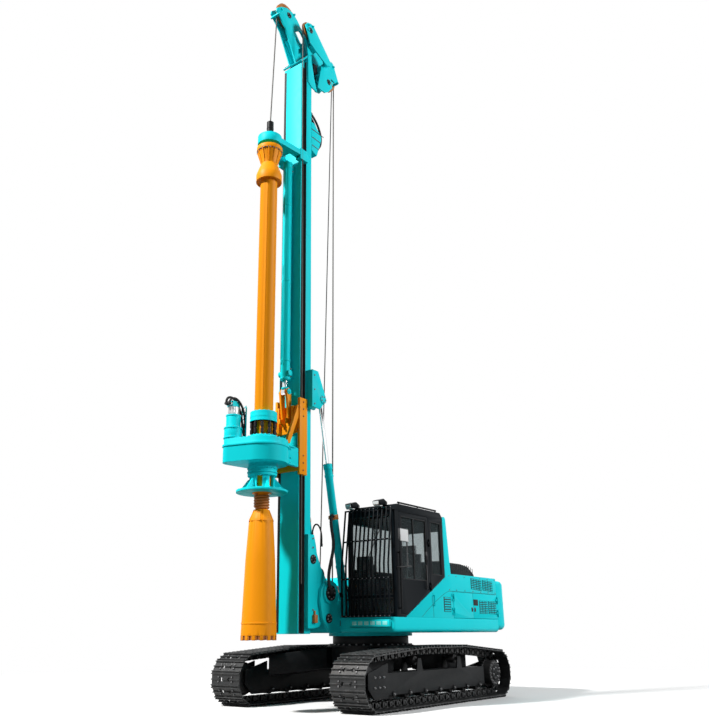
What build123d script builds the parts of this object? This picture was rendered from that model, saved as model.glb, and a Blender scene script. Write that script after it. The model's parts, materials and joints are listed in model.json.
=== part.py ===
from build123d import *
import os
from math import atan2, cos, degrees, radians, sin, tan

os.makedirs("parts", exist_ok=True)

# Rotary piling rig on a crawler base, in millimetres.
# +X is forward, +Y is the cab side, +Z is up. The ground is Z = 0.
# Lengths along X are counted from the slewing axis, which stands slew_x from the origin.
# ---- crawler tracks -------------------------------------------------------------------
track_half_gauge = 1183
shoe_width = 604
idler_x = 1956
sprocket_x = -1937
track_end_radius = 400          # over the grousers
carrier_top = 890               # top of the track where the carrier rollers lift it
carrier_xs = (600, -680)
grouser_height = 26
shoe_plate = 14
shoe_count = 54
shoe_gap = 12
grouser_width = 16
chain_width = 196
chain_height = 108
roller_radius = 76
roller_width = 190
roller_count = 7
roller_clearance = 2
frame_half_width = 150
frame_wall = 24
beam_bottom = 215
beam_top = 520
beam_front = 1520
beam_rear = -1560
guard_front = 2030
idler_guard_top = 530
idler_guard_low = 170
idler_guard_rise = 660          # height of the idler's guard where it meets the frame
final_drive_radius = 205

# ---- slewing ring and turntable ---------------------------------------------------------
bearing_radius = 653
bearing_inner = 520
bearing_bottom = 890
bearing_top = 1034
ring_flange_radius = 720
slew_gap = 1
deck_bottom = 1086
deck_top = 1310
deck_front = 1340
deck_half_width = 1350
tail_seam = -2240
tail_end = -2860
tail_corner = 450
body_height = 730               # of the machinery house over the deck
body_top = deck_top + body_height
sheet = 40
seam = 6                        # gap round doors and lids

# ---- mast hinge and mast ----------------------------------------------------------------
hinge_x = 1620
hinge_z = 1680
hinge_pin_radius = 60
hub_radius = 165
mast_front = 2256
mast_rear = 1946
mast_half_width = 216.5
mast_bottom = 1070
mast_top = 11580
rail_plate = 22                 # front guide rail, which the carriages hold
rail_recess = 136
rail_inset = 52
head_slope = 50                 # slope of the head's foot plate, in degrees
head_height = 1050              # from the mast's top to the main sheave's pin

# ---- tilt cylinders ---------------------------------------------------------------------
tilt_y = 290
tilt_foot_x = 1140
tilt_foot_z = deck_top + 190
tilt_eye_x = 1800
tilt_eye_z = 4820
tilt_barrel_radius = 66
tilt_barrel_length = 2300
tilt_rod_radius = 33
tilt_rod_length = 1400
rod_clearance = 2
eye_radius = 70
eye_width = 70
ear_gap = 6
ear_thick = 32
tilt_pin_radius = 32

# ---- crowd cylinder, rotary head and kelly ----------------------------------------------
kelly_x = 2886
kelly_radius = 149.5
kelly_clearance = 6
crowd_x = 2370
crowd_barrel_radius = 80
crowd_barrel_bottom = 5090
crowd_barrel_top = 9300
crowd_rod_radius = 45
crowd_eye_z = 4880
crowd_travel = 2200
gear_bottom = 3580
gear_seam = 3860
gear_top = 3950
gear_radius = 418
motor_x = 3240
motor_y = -320
motor_bulge = 160
disc_bottom = 3130
disc_radius = 400
damper_bottom = 4250
damper_top = 4410
damper_radius = 215
carriage_bottom = 3490
carriage_top = 4770
carriage_wall = 46
slide_clearance = 5
guide_bottom = 9420
guide_top = 9590
guide_radius = 218
swivel_top = 9920
swivel_radius = 62
bucket_bottom = 1050
bucket_tip = 985
bucket_top = 2870
bucket_shoulder = 2720

# ---- cab --------------------------------------------------------------------------------
cab_inner = 430
cab_outer = 1350
cab_rear = -310
cab_front = 1230
cab_height = 1740
cab_roof = deck_top + cab_height
cab_wall = 50
door_front = 1120
door_rear = 190
cab_lean = 20                   # the windscreen leans back by this above cab_bend
cab_bend = deck_top + 790
cab_brow = 90                   # depth and height of the sloping edge at the roof's front
guard_bar = 22
guard_count = 12

# The origin is under the middle of the machine's length, so the slewing axis is behind it.
slew_x = -(motor_x + motor_bulge + tail_end) / 2

# Planes through the slewing axis: side is seen from the right, plan from above, end from
# the front. A sketch on side has its own X along the machine's X and its Y along Z.
side = Plane(origin=(slew_x, 0, 0), x_dir=(1, 0, 0), z_dir=(0, -1, 0))
plan = Plane(origin=(slew_x, 0, 0), x_dir=(1, 0, 0), z_dir=(0, 0, 1))
end = Plane(origin=(slew_x, 0, 0), x_dir=(0, 1, 0), z_dir=(1, 0, 0))


def block(x0, x1, y0, y1, z0, z1, mode=Mode.ADD):
    """A box between two corners, counted from the slewing axis."""
    with BuildSketch(plan.offset(z0)) as foot:
        with Locations(((x0 + x1) / 2, (y0 + y1) / 2)):
            Rectangle(x1 - x0, y1 - y0)
    extrude(foot.sketch, amount=z1 - z0, mode=mode)


def across(x, z, radius, y0, y1, mode=Mode.ADD):
    """A round bar across the machine, from y0 to y1."""
    with BuildSketch(side.offset(-y0)) as face:
        with Locations((x, z)):
            Circle(radius)
    extrude(face.sketch, amount=y0 - y1, mode=mode)


def upright(x, y, radius, z0, z1, mode=Mode.ADD):
    """A round upright bar from z0 to z1."""
    with BuildSketch(plan.offset(z0)) as face:
        with Locations((x, y)):
            Circle(radius)
    extrude(face.sketch, amount=z1 - z0, mode=mode)


def lengthwise(y, z, radius, x0, x1, mode=Mode.ADD):
    """A round bar along the machine, from x0 to x1."""
    with BuildSketch(end.offset(x0)) as face:
        with Locations((y, z)):
            Circle(radius)
    extrude(face.sketch, amount=x1 - x0, mode=mode)


def side_plate(corners, y0, y1, mode=Mode.ADD):
    """A flat plate standing along the machine, its corners in side view."""
    with BuildSketch(side.offset(-y0)) as face:
        with BuildLine():
            Polyline(*corners, close=True)
        make_face()
    extrude(face.sketch, amount=y0 - y1, mode=mode)


def turned(x, y, outline, mode=Mode.ADD):
    """A turned piece on an upright axis, its outline as radius and height."""
    with BuildSketch(Plane(origin=(slew_x + x, y, 0), x_dir=(1, 0, 0), z_dir=(0, -1, 0))) as face:
        with BuildLine():
            Polyline(*outline, close=True)
        make_face()
    revolve(face.sketch, axis=Axis((slew_x + x, y, 0), (0, 0, 1)), mode=mode)


def track_outline(inset):
    """The convex loop round idler, carrier rollers and sprocket, inset from the grousers."""
    carrier_round = 200
    rounds = [(idler_x, track_end_radius, track_end_radius)]
    rounds += [(x, carrier_top - carrier_round, carrier_round) for x in carrier_xs]
    rounds += [(sprocket_x, track_end_radius, track_end_radius)]
    with BuildSketch() as loop:
        for x, z, radius in rounds:
            with Locations((x, z)):
                Circle(radius - inset)
        make_hull()
    return loop.sketch


# ---- undercarriage ----------------------------------------------------------------------
# Each track is one closed loop: a chain of links with a grousered shoe on each link.
plate_inset = grouser_height + shoe_plate
chain_inset = plate_inset + chain_height
plate_line = track_outline(plate_inset).faces()[0].outer_wire()
shoe_pitch = plate_line.length / shoe_count
shoe_half = (shoe_pitch - shoe_gap) / 2
shoe_foot = -shoe_plate
shoe_tip = -shoe_plate - grouser_height
tip_half = grouser_width / 2
shoe_section = [(-shoe_half, 2), (-shoe_half, shoe_tip)]
for edge in (-shoe_half + grouser_width, -tip_half, tip_half, shoe_half - grouser_width):
    rising = edge in (-shoe_half + grouser_width, tip_half)
    shoe_section += [(edge, shoe_tip if rising else shoe_foot), (edge, shoe_foot if rising else shoe_tip)]
shoe_section += [(shoe_half, shoe_tip), (shoe_half, 2)]

with BuildSketch() as shoe_ring:
    for number in range(shoe_count):
        spot = plate_line.position_at(number / shoe_count)
        along = plate_line.tangent_at(number / shoe_count)
        with Locations(Location((spot.X, spot.Y), degrees(atan2(along.Y, along.X)))):
            Polygon(*shoe_section, align=None)

for hand, label in ((1, "track_left"), (-1, "track_right")):
    inner_edge = hand * track_half_gauge - shoe_width / 2
    chain_edge = hand * track_half_gauge - chain_width / 2
    with BuildPart() as track:
        with BuildSketch(side.offset(-inner_edge)):
            add(shoe_ring.sketch)
            add(track_outline(plate_inset - 2))
            add(track_outline(plate_inset + 10), mode=Mode.SUBTRACT)
        extrude(amount=-shoe_width)
        with BuildSketch(side.offset(-chain_edge)):
            add(track_outline(plate_inset + 4))
            add(track_outline(chain_inset), mode=Mode.SUBTRACT)
        extrude(amount=-chain_width)
        block(-3000, 3000, inner_edge, inner_edge + shoe_width, -50, 0, mode=Mode.SUBTRACT)
    track.part.label = label
    export_step(track.part, f"parts/{label}.step")

# Rollers, idlers and sprockets run inside the loop, on shafts held by the track frames.
chain_top = plate_inset + chain_height
roller_z = chain_top + roller_clearance + roller_radius
idler_radius = track_end_radius - chain_inset - roller_clearance
carrier_radius = 70
carrier_z = carrier_top - chain_inset - roller_clearance - carrier_radius
roller_first = beam_front - 150
roller_step = (roller_first - beam_rear - 190) / (roller_count - 1)
cheek_gap = frame_half_width - frame_wall
web_gap = 16                    # from a roller to the webs beside it

with BuildPart() as track_rollers:
    for hand in (1, -1):
        middle = hand * track_half_gauge
        for number in range(roller_count):
            x = roller_first - number * roller_step
            across(x, roller_z, roller_radius, middle - roller_width / 2, middle + roller_width / 2)
            across(x, roller_z, 34, middle - cheek_gap, middle + cheek_gap)
        for x in carrier_xs:
            across(x, carrier_z, carrier_radius, middle - 70, middle + 70)
            across(x, carrier_z, 30, middle - cheek_gap, middle + cheek_gap)
track_rollers.part.label = "track_rollers"
export_step(track_rollers.part, "parts/track_rollers.step")

with BuildPart() as front_idlers:
    for hand in (1, -1):
        middle = hand * track_half_gauge
        across(idler_x, track_end_radius, idler_radius, middle - 45, middle + 45)
        across(idler_x, track_end_radius, idler_radius - 28, middle - 80, middle + 80)
        across(idler_x, track_end_radius, 62, middle - cheek_gap, middle + cheek_gap)
front_idlers.part.label = "front_idlers"
export_step(front_idlers.part, "parts/front_idlers.step")

# Each sprocket is bolted to a final drive, whose round cover shows inside the track.
tooth_count = 21
with BuildPart() as drive_sprockets:
    for hand in (1, -1):
        middle = hand * track_half_gauge
        with BuildSketch(side.offset(-(middle - 30))) as sprocket:
            with Locations((sprocket_x, track_end_radius)):
                Circle(idler_radius - 34)
                with PolarLocations(idler_radius - 30, tooth_count):
                    Circle(20)
        extrude(sprocket.sketch, amount=-60)
        across(sprocket_x, track_end_radius, 150, middle - hand * 110, middle + hand * 30)
        across(sprocket_x, track_end_radius, final_drive_radius, middle + hand * 28, middle + hand * 175)
drive_sprockets.part.label = "drive_sprockets"
export_step(drive_sprockets.part, "parts/drive_sprockets.step")

# A track frame is an open channel over its rollers, with upright webs between them, a
# bevelled guard over the idler in front and a bearing plate for the final drive behind.
beam_side = [(beam_front, beam_bottom), (beam_front, beam_top), (beam_rear, beam_top)]
beam_side += [(beam_rear, beam_bottom + 40), (beam_rear + 60, beam_bottom)]
guard_side = [(beam_front - 10, idler_guard_low), (guard_front - 160, idler_guard_low),
              (guard_front, 320)]
guard_side += [(guard_front, idler_guard_top), (beam_front - 10, idler_guard_rise)]
for hand, label in ((1, "track_frame_left"), (-1, "track_frame_right")):
    middle = hand * track_half_gauge
    low_y = middle - frame_half_width
    high_y = middle + frame_half_width
    with BuildPart() as track_frame:
        side_plate(beam_side, low_y, high_y)
        block(beam_rear - 9, beam_front - 60, low_y + frame_wall, high_y - frame_wall, 0,
              roller_z + roller_radius + 10, mode=Mode.SUBTRACT)
        for y in (low_y, high_y - frame_wall):
            side_plate(guard_side, y, y + frame_wall)
        for number in range(roller_count - 1):
            x = roller_first - number * roller_step - roller_radius - web_gap
            block(x - roller_step + 2 * (roller_radius + web_gap), x, middle - frame_wall / 2,
                  middle + frame_wall / 2, chain_top + 10, beam_top - 5)
        inner_cheek = middle - hand * frame_half_width
        cheek_in = inner_cheek + hand * (frame_wall + 10)
        side_plate([(beam_rear + 60, 250), (beam_rear + 60, beam_top), (sprocket_x, 580),
                    (sprocket_x, 220)], inner_cheek, cheek_in)
        across(sprocket_x, track_end_radius, 180, inner_cheek, cheek_in)
        for x in carrier_xs:
            for y in (low_y, high_y - frame_wall):
                side_plate([(x - 90, beam_top - 5), (x + 90, beam_top - 5), (x + 48, carrier_z + 34),
                            (x - 48, carrier_z + 34)], y, y + frame_wall)
    track_frame.part.label = label
    export_step(track_frame.part, f"parts/{label}.step")

# The car body is a round box under the slewing ring, with a towing eye in front and
# behind. Four legs reach down from it to the track frames.
leg_y = track_half_gauge - frame_half_width
drum_side = 700
drum_flange = 740
drum_bottom = 520
eye_x = 790
eye_z = 582
eye_plate = 44
eye_bore = 30
with BuildPart() as car_body:
    upright(0, 0, drum_side, drum_bottom, bearing_bottom - 30)
    upright(0, 0, drum_flange, bearing_bottom - 30, bearing_bottom)
    upright(0, 0, 320, 400, drum_bottom)
    for front in (1, -1):
        with BuildSketch(plan.offset(eye_z - eye_plate / 2)) as tongue:
            with BuildLine():
                Polyline((front * 600, -150), (front * eye_x, -75), (front * (eye_x + 50), -50),
                         (front * (eye_x + 50), 50), (front * eye_x, 75), (front * 600, 150),
                         close=True)
            make_face()
        extrude(tongue.sketch, amount=eye_plate)
        upright(front * eye_x, 0, eye_bore, eye_z - eye_plate, eye_z + eye_plate, mode=Mode.SUBTRACT)
car_body.part.label = "car_body"
export_step(car_body.part, "parts/car_body.step")

leg_root = (420, 690, 560, 330)         # x, z, length and height where a leg leaves the drum
leg_end = (1190, 588, 590, 316)         # and where it meets its track frame
with BuildPart() as frame_legs:
    for front in (1, -1):
        for hand in (1, -1):
            for y, (x, z, length, height) in ((420, leg_root), (leg_y, leg_end)):
                with BuildSketch(side.offset(-hand * y)):
                    with Locations((front * x, z)):
                        Rectangle(length, height)
            loft(ruled=True)
    upright(0, 0, drum_side, 0, bearing_bottom - 30, mode=Mode.SUBTRACT)
    upright(0, 0, drum_flange, bearing_bottom - 30, bearing_bottom, mode=Mode.SUBTRACT)
frame_legs.part.label = "frame_legs"
export_step(frame_legs.part, "parts/frame_legs.step")

with BuildPart() as slewing_bearing:
    upright(0, 0, bearing_radius, bearing_bottom, bearing_top)
    upright(0, 0, bearing_inner, bearing_bottom, bearing_top, mode=Mode.SUBTRACT)
slewing_bearing.part.label = "slewing_bearing"
export_step(slewing_bearing.part, "parts/slewing_bearing.step")

# ---- turntable --------------------------------------------------------------------------
# The turntable carries everything above the slewing ring. Two thick plates reach forward
# of its deck to the mast hinge, and behind them pairs of ears hold the tilt cylinders.
foot_gap = 250                  # the mast's foot plates fit between the support plates
foot_plate = 38
support_inner = foot_gap + foot_plate + slide_clearance
support_plate = 45
support_side = [(780, deck_bottom), (1600, deck_bottom), (1790, 1290), (1850, 1560), (1830, 1730),
                (1730, 1850), (1600, 1880), (1440, 1830), (1340, 1650), (1230, 1400),
                (780, deck_top + 20)]
ear_side = [(tilt_foot_x - 110, deck_top - 10), (tilt_foot_x - 72, tilt_foot_z),
            (tilt_foot_x + 72, tilt_foot_z), (tilt_foot_x + 170, deck_top - 10)]
ear_outer = tilt_y + eye_width / 2 + ear_gap
ear_inner = tilt_y - eye_width / 2 - ear_gap

with BuildPart() as turntable:
    with BuildSketch(plan.offset(deck_bottom)):
        with BuildLine():
            Polyline((tail_seam, -deck_half_width), (deck_front, -deck_half_width),
                     (deck_front, deck_half_width), (tail_seam, deck_half_width), close=True)
        make_face()
    extrude(amount=deck_top - deck_bottom)
    fillet(turntable.edges().filter_by(Axis.X).group_by(Axis.Z)[0], 70)
    fillet(turntable.edges().filter_by(Axis.Z).group_by(Axis.X)[-1], 60)
    upright(0, 0, ring_flange_radius, bearing_top + slew_gap, deck_bottom)
    for hand in (1, -1):
        inner = hand * support_inner
        side_plate(support_side, inner, inner + hand * support_plate)
        across(hinge_x, hinge_z, hinge_pin_radius, hand * (foot_gap - 30), inner + hand * support_plate)
        across(hinge_x, hinge_z, hub_radius, inner + hand * (support_plate - 1),
               inner + hand * (support_plate + 26))
        for y in (ear_inner - ear_thick, ear_outer):
            side_plate(ear_side, hand * y, hand * (y + ear_thick))
            across(tilt_foot_x, tilt_foot_z, 78, hand * y, hand * (y + ear_thick))
        across(tilt_foot_x, tilt_foot_z, tilt_pin_radius, hand * (ear_inner - 5), hand * (ear_outer + 5))
turntable.part.label = "turntable"
export_step(turntable.part, "parts/turntable.step")

# The counterweight is a rounded block with two lifting eyes on top.
weight_bottom = deck_bottom + 40
weight_top = body_top - 30
lift_x = -2550
lift_y = 720
lift_z = weight_top + 60
lift_plate = 36
lift_bore = 26
with BuildPart() as counterweight:
    with BuildSketch(plan.offset(weight_bottom)):
        with BuildLine():
            Polyline((tail_seam - seam, 4 - deck_half_width), (tail_end, 4 - deck_half_width),
                     (tail_end, deck_half_width - 4), (tail_seam - seam, deck_half_width - 4),
                     close=True)
        make_face()
        fillet(vertices().sort_by(Axis.X)[:2], tail_corner)
    extrude(amount=weight_top - weight_bottom)
    fillet(counterweight.faces().sort_by(Axis.Z)[-1].edges(), 80)
    fillet(counterweight.faces().sort_by(Axis.Z)[0].edges(), 100)
    for y in (-lift_y, lift_y):
        side_plate([(lift_x - 80, weight_top - 10), (lift_x - 40, lift_z + 40),
                    (lift_x + 40, lift_z + 40), (lift_x + 80, weight_top - 10)], y - lift_plate / 2,
                   y + lift_plate / 2)
        across(lift_x, lift_z, lift_bore, y - lift_plate, y + lift_plate, mode=Mode.SUBTRACT)
counterweight.part.label = "counterweight"
export_step(counterweight.part, "parts/counterweight.step")

# The machinery house: side panels, a front bulkhead and a lid round the engine bay. The
# left panel slopes down under the cab to the deck's front and has two doors.
bulkhead_x = -820
panel_inner = deck_half_width - sheet
panel_top = body_top - sheet
seam_z = deck_top + 440
door_low = deck_top + seam
door_high = seam_z - seam
door_lead = -560
door_split = -1280
door_ends = ((door_split + seam / 2, door_lead - seam), (tail_seam + seam, door_split - seam / 2))
wedge_front = 960
wedge_rear = -420
wedge_sheet = 18
wedge_low = deck_top + 8
wedge_high = body_top - 18


def slope_z(x):
    """The height of the left panel's sloping edge, which runs down forward under the cab."""
    return wedge_low + (wedge_front - x) * (wedge_high - wedge_low) / (wedge_front - wedge_rear)


with BuildPart() as left_side_panel:
    block(tail_seam, wedge_rear, panel_inner, deck_half_width, deck_top, body_top)
    side_plate([(wedge_front, deck_top), (wedge_front, wedge_low),
                (wedge_rear - 10, slope_z(wedge_rear - 10)), (wedge_rear - 10, deck_top)],
               deck_half_width - wedge_sheet, deck_half_width)
    side_plate([(cab_rear - 8, wedge_high - 72), (cab_rear - 215, wedge_high - 72),
                (cab_rear - 215, wedge_high), (cab_rear - 120, cab_roof - 90),
                (cab_rear - 90, cab_roof - 50), (cab_rear - 8, cab_roof - 60)], panel_inner - 20,
               deck_half_width)
    block(tail_seam, door_lead, panel_inner - 10, deck_half_width + 10, deck_top, seam_z,
          mode=Mode.SUBTRACT)
    block(tail_seam, wedge_rear, panel_inner - 180, panel_inner, panel_top, body_top)
    block(wedge_rear - sheet, wedge_rear, 480, panel_inner, deck_top, body_top)
left_side_panel.part.label = "left_side_panel"
export_step(left_side_panel.part, "parts/left_side_panel.step")

right_opening = (tail_seam + 40, bulkhead_x - 40)
with BuildPart() as right_side_panel:
    block(tail_seam, bulkhead_x, -deck_half_width, -panel_inner, deck_top, body_top)
    block(*right_opening, -deck_half_width - 10, -panel_inner + 10, deck_top, seam_z, mode=Mode.SUBTRACT)
    block(tail_seam, bulkhead_x, -panel_inner, 180 - panel_inner, panel_top, body_top)
    block(bulkhead_x - sheet, bulkhead_x, -panel_inner, panel_inner, deck_top, panel_top)
right_side_panel.part.label = "right_side_panel"
export_step(right_side_panel.part, "parts/right_side_panel.step")


def upright_knuckle(x, y, z, to_x, to_y):
    """A pin with its upper and lower lugs, fixed to a plate that reaches to to_x, to_y."""
    for low in (z - knuckle_length * 1.5 - 1, z + knuckle_length / 2 + 1):
        upright(x, y, knuckle_radius, low, low + knuckle_length)
        block(min(x, to_x), max(x, to_x), min(y, to_y), max(y, to_y), low, low + knuckle_length)
    upright(x, y, knuckle_pin, z - knuckle_length, z + knuckle_length)


def upright_eye(x, y, z, to_x, to_y):
    """The middle lug of an upright hinge, bored for the pin."""
    low = z - knuckle_length / 2
    upright(x, y, knuckle_radius, low, low + knuckle_length)
    block(min(x, to_x), max(x, to_x), min(y, to_y), max(y, to_y), low, low + knuckle_length)
    upright(x, y, knuckle_pin + pin_clearance, low - 1, low + knuckle_length + 1, mode=Mode.SUBTRACT)


# Each door hangs on two pinned hinges just outside its sheet.
knuckle_radius = 13
knuckle_pin = 7
knuckle_length = 40
pin_clearance = 0.4
door_hinge_y = deck_half_width + 16
left_hinges = (door_lead - seam / 2, tail_seam + seam / 2)
right_hinge_x = right_opening[1] - seam / 2
hinge_zs = (deck_top + 110, seam_z - 100)
door_names = ("left_front_service_door", "left_rear_service_door")
for label, (x0, x1), hinge in zip(door_names, door_ends, left_hinges):
    inward = -1 if hinge > (x0 + x1) / 2 else 1
    with BuildPart() as service_door:
        block(x0, x1, panel_inner, deck_half_width, door_low, door_high)
        for z in hinge_zs:
            upright_eye(hinge, door_hinge_y, z, hinge + inward * 50, deck_half_width - 5)
    service_door.part.label = label
    export_step(service_door.part, f"parts/{label}.step")

with BuildPart() as right_service_door:
    block(right_opening[0] + seam, right_opening[1] - seam, -deck_half_width, -panel_inner, door_low,
          door_high)
    for z in hinge_zs:
        upright_eye(right_hinge_x, -door_hinge_y, z, right_hinge_x - 50, 5 - deck_half_width)
right_service_door.part.label = "right_service_door"
export_step(right_service_door.part, "parts/right_service_door.step")

with BuildPart() as door_hinges:
    for z in hinge_zs:
        upright_knuckle(left_hinges[0], door_hinge_y, z, left_hinges[0] + 50, deck_half_width)
        upright_knuckle(left_hinges[1], door_hinge_y, z, left_hinges[1] - 50, deck_half_width - 4)
        upright_knuckle(right_hinge_x, -door_hinge_y, z, right_hinge_x + 50, -deck_half_width)
door_hinges.part.label = "door_hinges"
export_step(door_hinges.part, "parts/door_hinges.step")

# The hood is the lid over the engine, hinged along its rear edge.
hood_front = bulkhead_x - seam
hood_rear = tail_seam + 60
hood_half = panel_inner - 180 - seam
hood_hinge_x = tail_seam + 24
hood_hinge_z = body_top + 16
with BuildPart() as engine_hood:
    block(hood_rear, hood_front, -hood_half, hood_half, panel_top, body_top)
    for y in (-800, 300):
        across(hood_hinge_x, hood_hinge_z, knuckle_radius, y - 20, y + 20)
        block(hood_hinge_x, hood_rear + 60, y - 20, y + 20, body_top, body_top + 12)
        across(hood_hinge_x, hood_hinge_z, knuckle_pin + pin_clearance, y - 21, y + 21,
               mode=Mode.SUBTRACT)
engine_hood.part.label = "engine_hood"
export_step(engine_hood.part, "parts/engine_hood.step")

with BuildPart() as hood_hinge:
    block(tail_seam, hood_rear - seam, -hood_half, hood_half, panel_top, body_top - 2)
    for y in (-800, 300):
        across(hood_hinge_x, hood_hinge_z, knuckle_pin, y - 40, y + 40)
        for low in (y - 61, y + 21):
            across(hood_hinge_x, hood_hinge_z, knuckle_radius, low, low + 40)
            block(hood_hinge_x - 13, hood_hinge_x + 13, low, low + 40, body_top - 4, hood_hinge_z)
hood_hinge.part.label = "hood_hinge"
export_step(hood_hinge.part, "parts/hood_hinge.step")

# A black housing over the exhaust and the air intake stands on the lid.
with BuildPart() as exhaust_cover:
    side_plate([(-2120, body_top), (-2060, body_top + 100), (-1840, body_top + 220),
                (-1560, body_top + 250), (-1180, body_top + 250), (-1120, body_top + 200),
                (-1100, body_top)], 480, 1000)
exhaust_cover.part.label = "exhaust_cover"
export_step(exhaust_cover.part, "parts/exhaust_cover.step")

with BuildPart() as engine:
    block(-2060, -1160, -560, 620, deck_top, body_top - 140)
engine.part.label = "engine"
export_step(engine.part, "parts/engine.step")

# Fuel and hydraulic tanks and a tool box stand along the right side, with a step.
with BuildPart() as right_tanks:
    block(bulkhead_x + seam, 60, -deck_half_width, -560, deck_top, body_top)
    block(60, 640, -deck_half_width, -640, deck_top, body_top - 140)
    block(640, 1150, -deck_half_width, -700, deck_top, body_top - 400)
    fillet(right_tanks.edges().filter_by(Axis.Y).group_by(Axis.Z)[-1], 60)
right_tanks.part.label = "right_tanks"
export_step(right_tanks.part, "parts/right_tanks.step")

# The main winch stands between the tilt cylinders: its drum turns in two cheeks.
winch_x = 900
winch_z = deck_top + 380
drum_radius = 165
drum_core = 120
drum_half = 120
winch_cheek = 22
winch_pin = 45
with BuildPart() as main_winch_frame:
    for hand in (1, -1):
        y = hand * (drum_half + 12)
        side_plate([(winch_x - 200, deck_top), (winch_x - 110, winch_z + 60),
                    (winch_x + 110, winch_z + 60), (winch_x + 200, deck_top)], y,
                   y + hand * winch_cheek)
        across(winch_x, winch_z, 120, y, y + hand * 46)
    across(winch_x, winch_z, winch_pin, -drum_half - 14, drum_half + 14)
main_winch_frame.part.label = "main_winch_frame"
export_step(main_winch_frame.part, "parts/main_winch_frame.step")

with BuildPart() as main_winch_drum:
    across(winch_x, winch_z, drum_core, -drum_half, drum_half)
    for y in (-drum_half, drum_half - 20):
        across(winch_x, winch_z, drum_radius, y, y + 20)
    across(winch_x, winch_z, winch_pin + pin_clearance, -drum_half - 1, drum_half + 1, mode=Mode.SUBTRACT)
main_winch_drum.part.label = "main_winch_drum"
export_step(main_winch_drum.part, "parts/main_winch_drum.step")

# ---- cab --------------------------------------------------------------------------------
# The cab is a hollow box of pillars and rails. Its windows are cut through, the panes sit
# in the openings, and the left wall ahead of the centre pillar is the door.
cab_floor = deck_top
pillar = 62
cab_side = [(cab_front, cab_floor), (cab_front, cab_bend), (cab_front - cab_lean, cab_roof - cab_brow),
            (cab_front - cab_brow, cab_roof), (cab_rear + 70, cab_roof), (cab_rear, cab_roof - 70),
            (cab_rear, cab_floor)]
door_bottom = cab_floor + 50
door_top = cab_roof - 120
pane = 8
door_hinge_zs = (cab_floor + 490, cab_floor + 1190)
front_window = (cab_inner + pillar, cab_outer - pillar, cab_floor + 330, cab_roof - 170)
lower_window = (cab_inner + pillar, cab_outer - pillar, cab_floor + 60, cab_floor + 290)
rear_window = (cab_inner + pillar, cab_outer - pillar, cab_floor + 920, cab_roof - 295)
right_window = (cab_rear + 90, cab_front - 90, cab_floor + 740, cab_roof - 250)
quarter_window = (cab_rear + 80, door_rear - pillar - 14, cab_floor + 680, cab_roof - 180)
slope_gap = 8
wedge_run = (wedge_front - wedge_rear) / (wedge_high - wedge_low)
door_sill = wedge_front - (door_bottom - wedge_low - slope_gap) * wedge_run
doorway = [(door_rear, slope_z(door_rear) + slope_gap), (door_sill, door_bottom),
           (door_front, door_bottom), (door_front, door_top), (door_rear, door_top)]
wedge_recess = [(wedge_front + 15, deck_top - 1), (wedge_front + 15, wedge_low + slope_gap),
                (wedge_front, wedge_low + slope_gap),
                (cab_rear - 20, slope_z(cab_rear - 20) + slope_gap),
                (cab_rear - 20, deck_top - 1)]
with BuildPart() as cab_shell:
    side_plate(cab_side, cab_inner, cab_outer)
    cab_hollow = [(cab_front - cab_wall, cab_floor + cab_wall), (cab_front - cab_wall, cab_bend),
                  (cab_front - cab_wall - cab_lean, cab_roof - 110),
                  (cab_front - 120, cab_roof - cab_wall), (cab_rear + 90, cab_roof - cab_wall),
                  (cab_rear + cab_wall, cab_roof - 100), (cab_rear + cab_wall, cab_floor + cab_wall)]
    side_plate(cab_hollow, cab_inner + cab_wall, cab_outer - cab_wall, mode=Mode.SUBTRACT)
    for y0, y1, z0, z1 in (front_window, lower_window):
        block(cab_front - 200, cab_front + 10, y0, y1, z0, z1, mode=Mode.SUBTRACT)
    block(cab_rear - 10, cab_rear + 120, *rear_window, mode=Mode.SUBTRACT)
    block(right_window[0], right_window[1], cab_inner - 10, cab_inner + 100, *right_window[2:],
          mode=Mode.SUBTRACT)
    block(quarter_window[0], quarter_window[1], cab_outer - 100, cab_outer + 10, *quarter_window[2:],
          mode=Mode.SUBTRACT)
    side_plate(doorway, cab_outer - cab_wall - 5, cab_outer + 5, mode=Mode.SUBTRACT)
    side_plate(wedge_recess, cab_outer - wedge_sheet - 2, cab_outer + 5, mode=Mode.SUBTRACT)
    block(0, 520, 560, 1220, cab_roof - 80, cab_roof + 5, mode=Mode.SUBTRACT)
    for z in door_hinge_zs:
        upright_knuckle(door_rear + seam / 2, cab_outer + 16, z, door_rear - 45, cab_outer - 4)

# The roof is a pressing of its own, joined to the pillars just above the windows.
roof_joint = Plane.XY.offset(cab_roof - 110)
with BuildPart() as cab_frame:
    add(cab_shell.part)
    split(bisect_by=roof_joint, keep=Keep.BOTTOM)
cab_frame.part.label = "cab_frame"
export_step(cab_frame.part, "parts/cab_frame.step")

with BuildPart() as cab_roof_shell:
    add(cab_shell.part)
    split(bisect_by=roof_joint, keep=Keep.TOP)
cab_roof_shell.part.label = "cab_roof_shell"
export_step(cab_roof_shell.part, "parts/cab_roof_shell.step")

with BuildPart() as cab_glass:
    for y0, y1, z0, z1 in (front_window, lower_window):
        block(cab_front - 40, cab_front - 40 + pane, y0, y1, z0, z1)
    block(cab_rear + 20, cab_rear + 20 + pane, *rear_window)
    block(right_window[0], right_window[1], cab_inner + 20, cab_inner + 20 + pane, *right_window[2:])
    block(quarter_window[0], quarter_window[1], cab_outer - 28, cab_outer - 20, *quarter_window[2:])
    block(0, 520, 560, 1220, cab_roof - 30, cab_roof - 22)
cab_glass.part.label = "cab_glass"
export_step(cab_glass.part, "parts/cab_glass.step")

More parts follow.
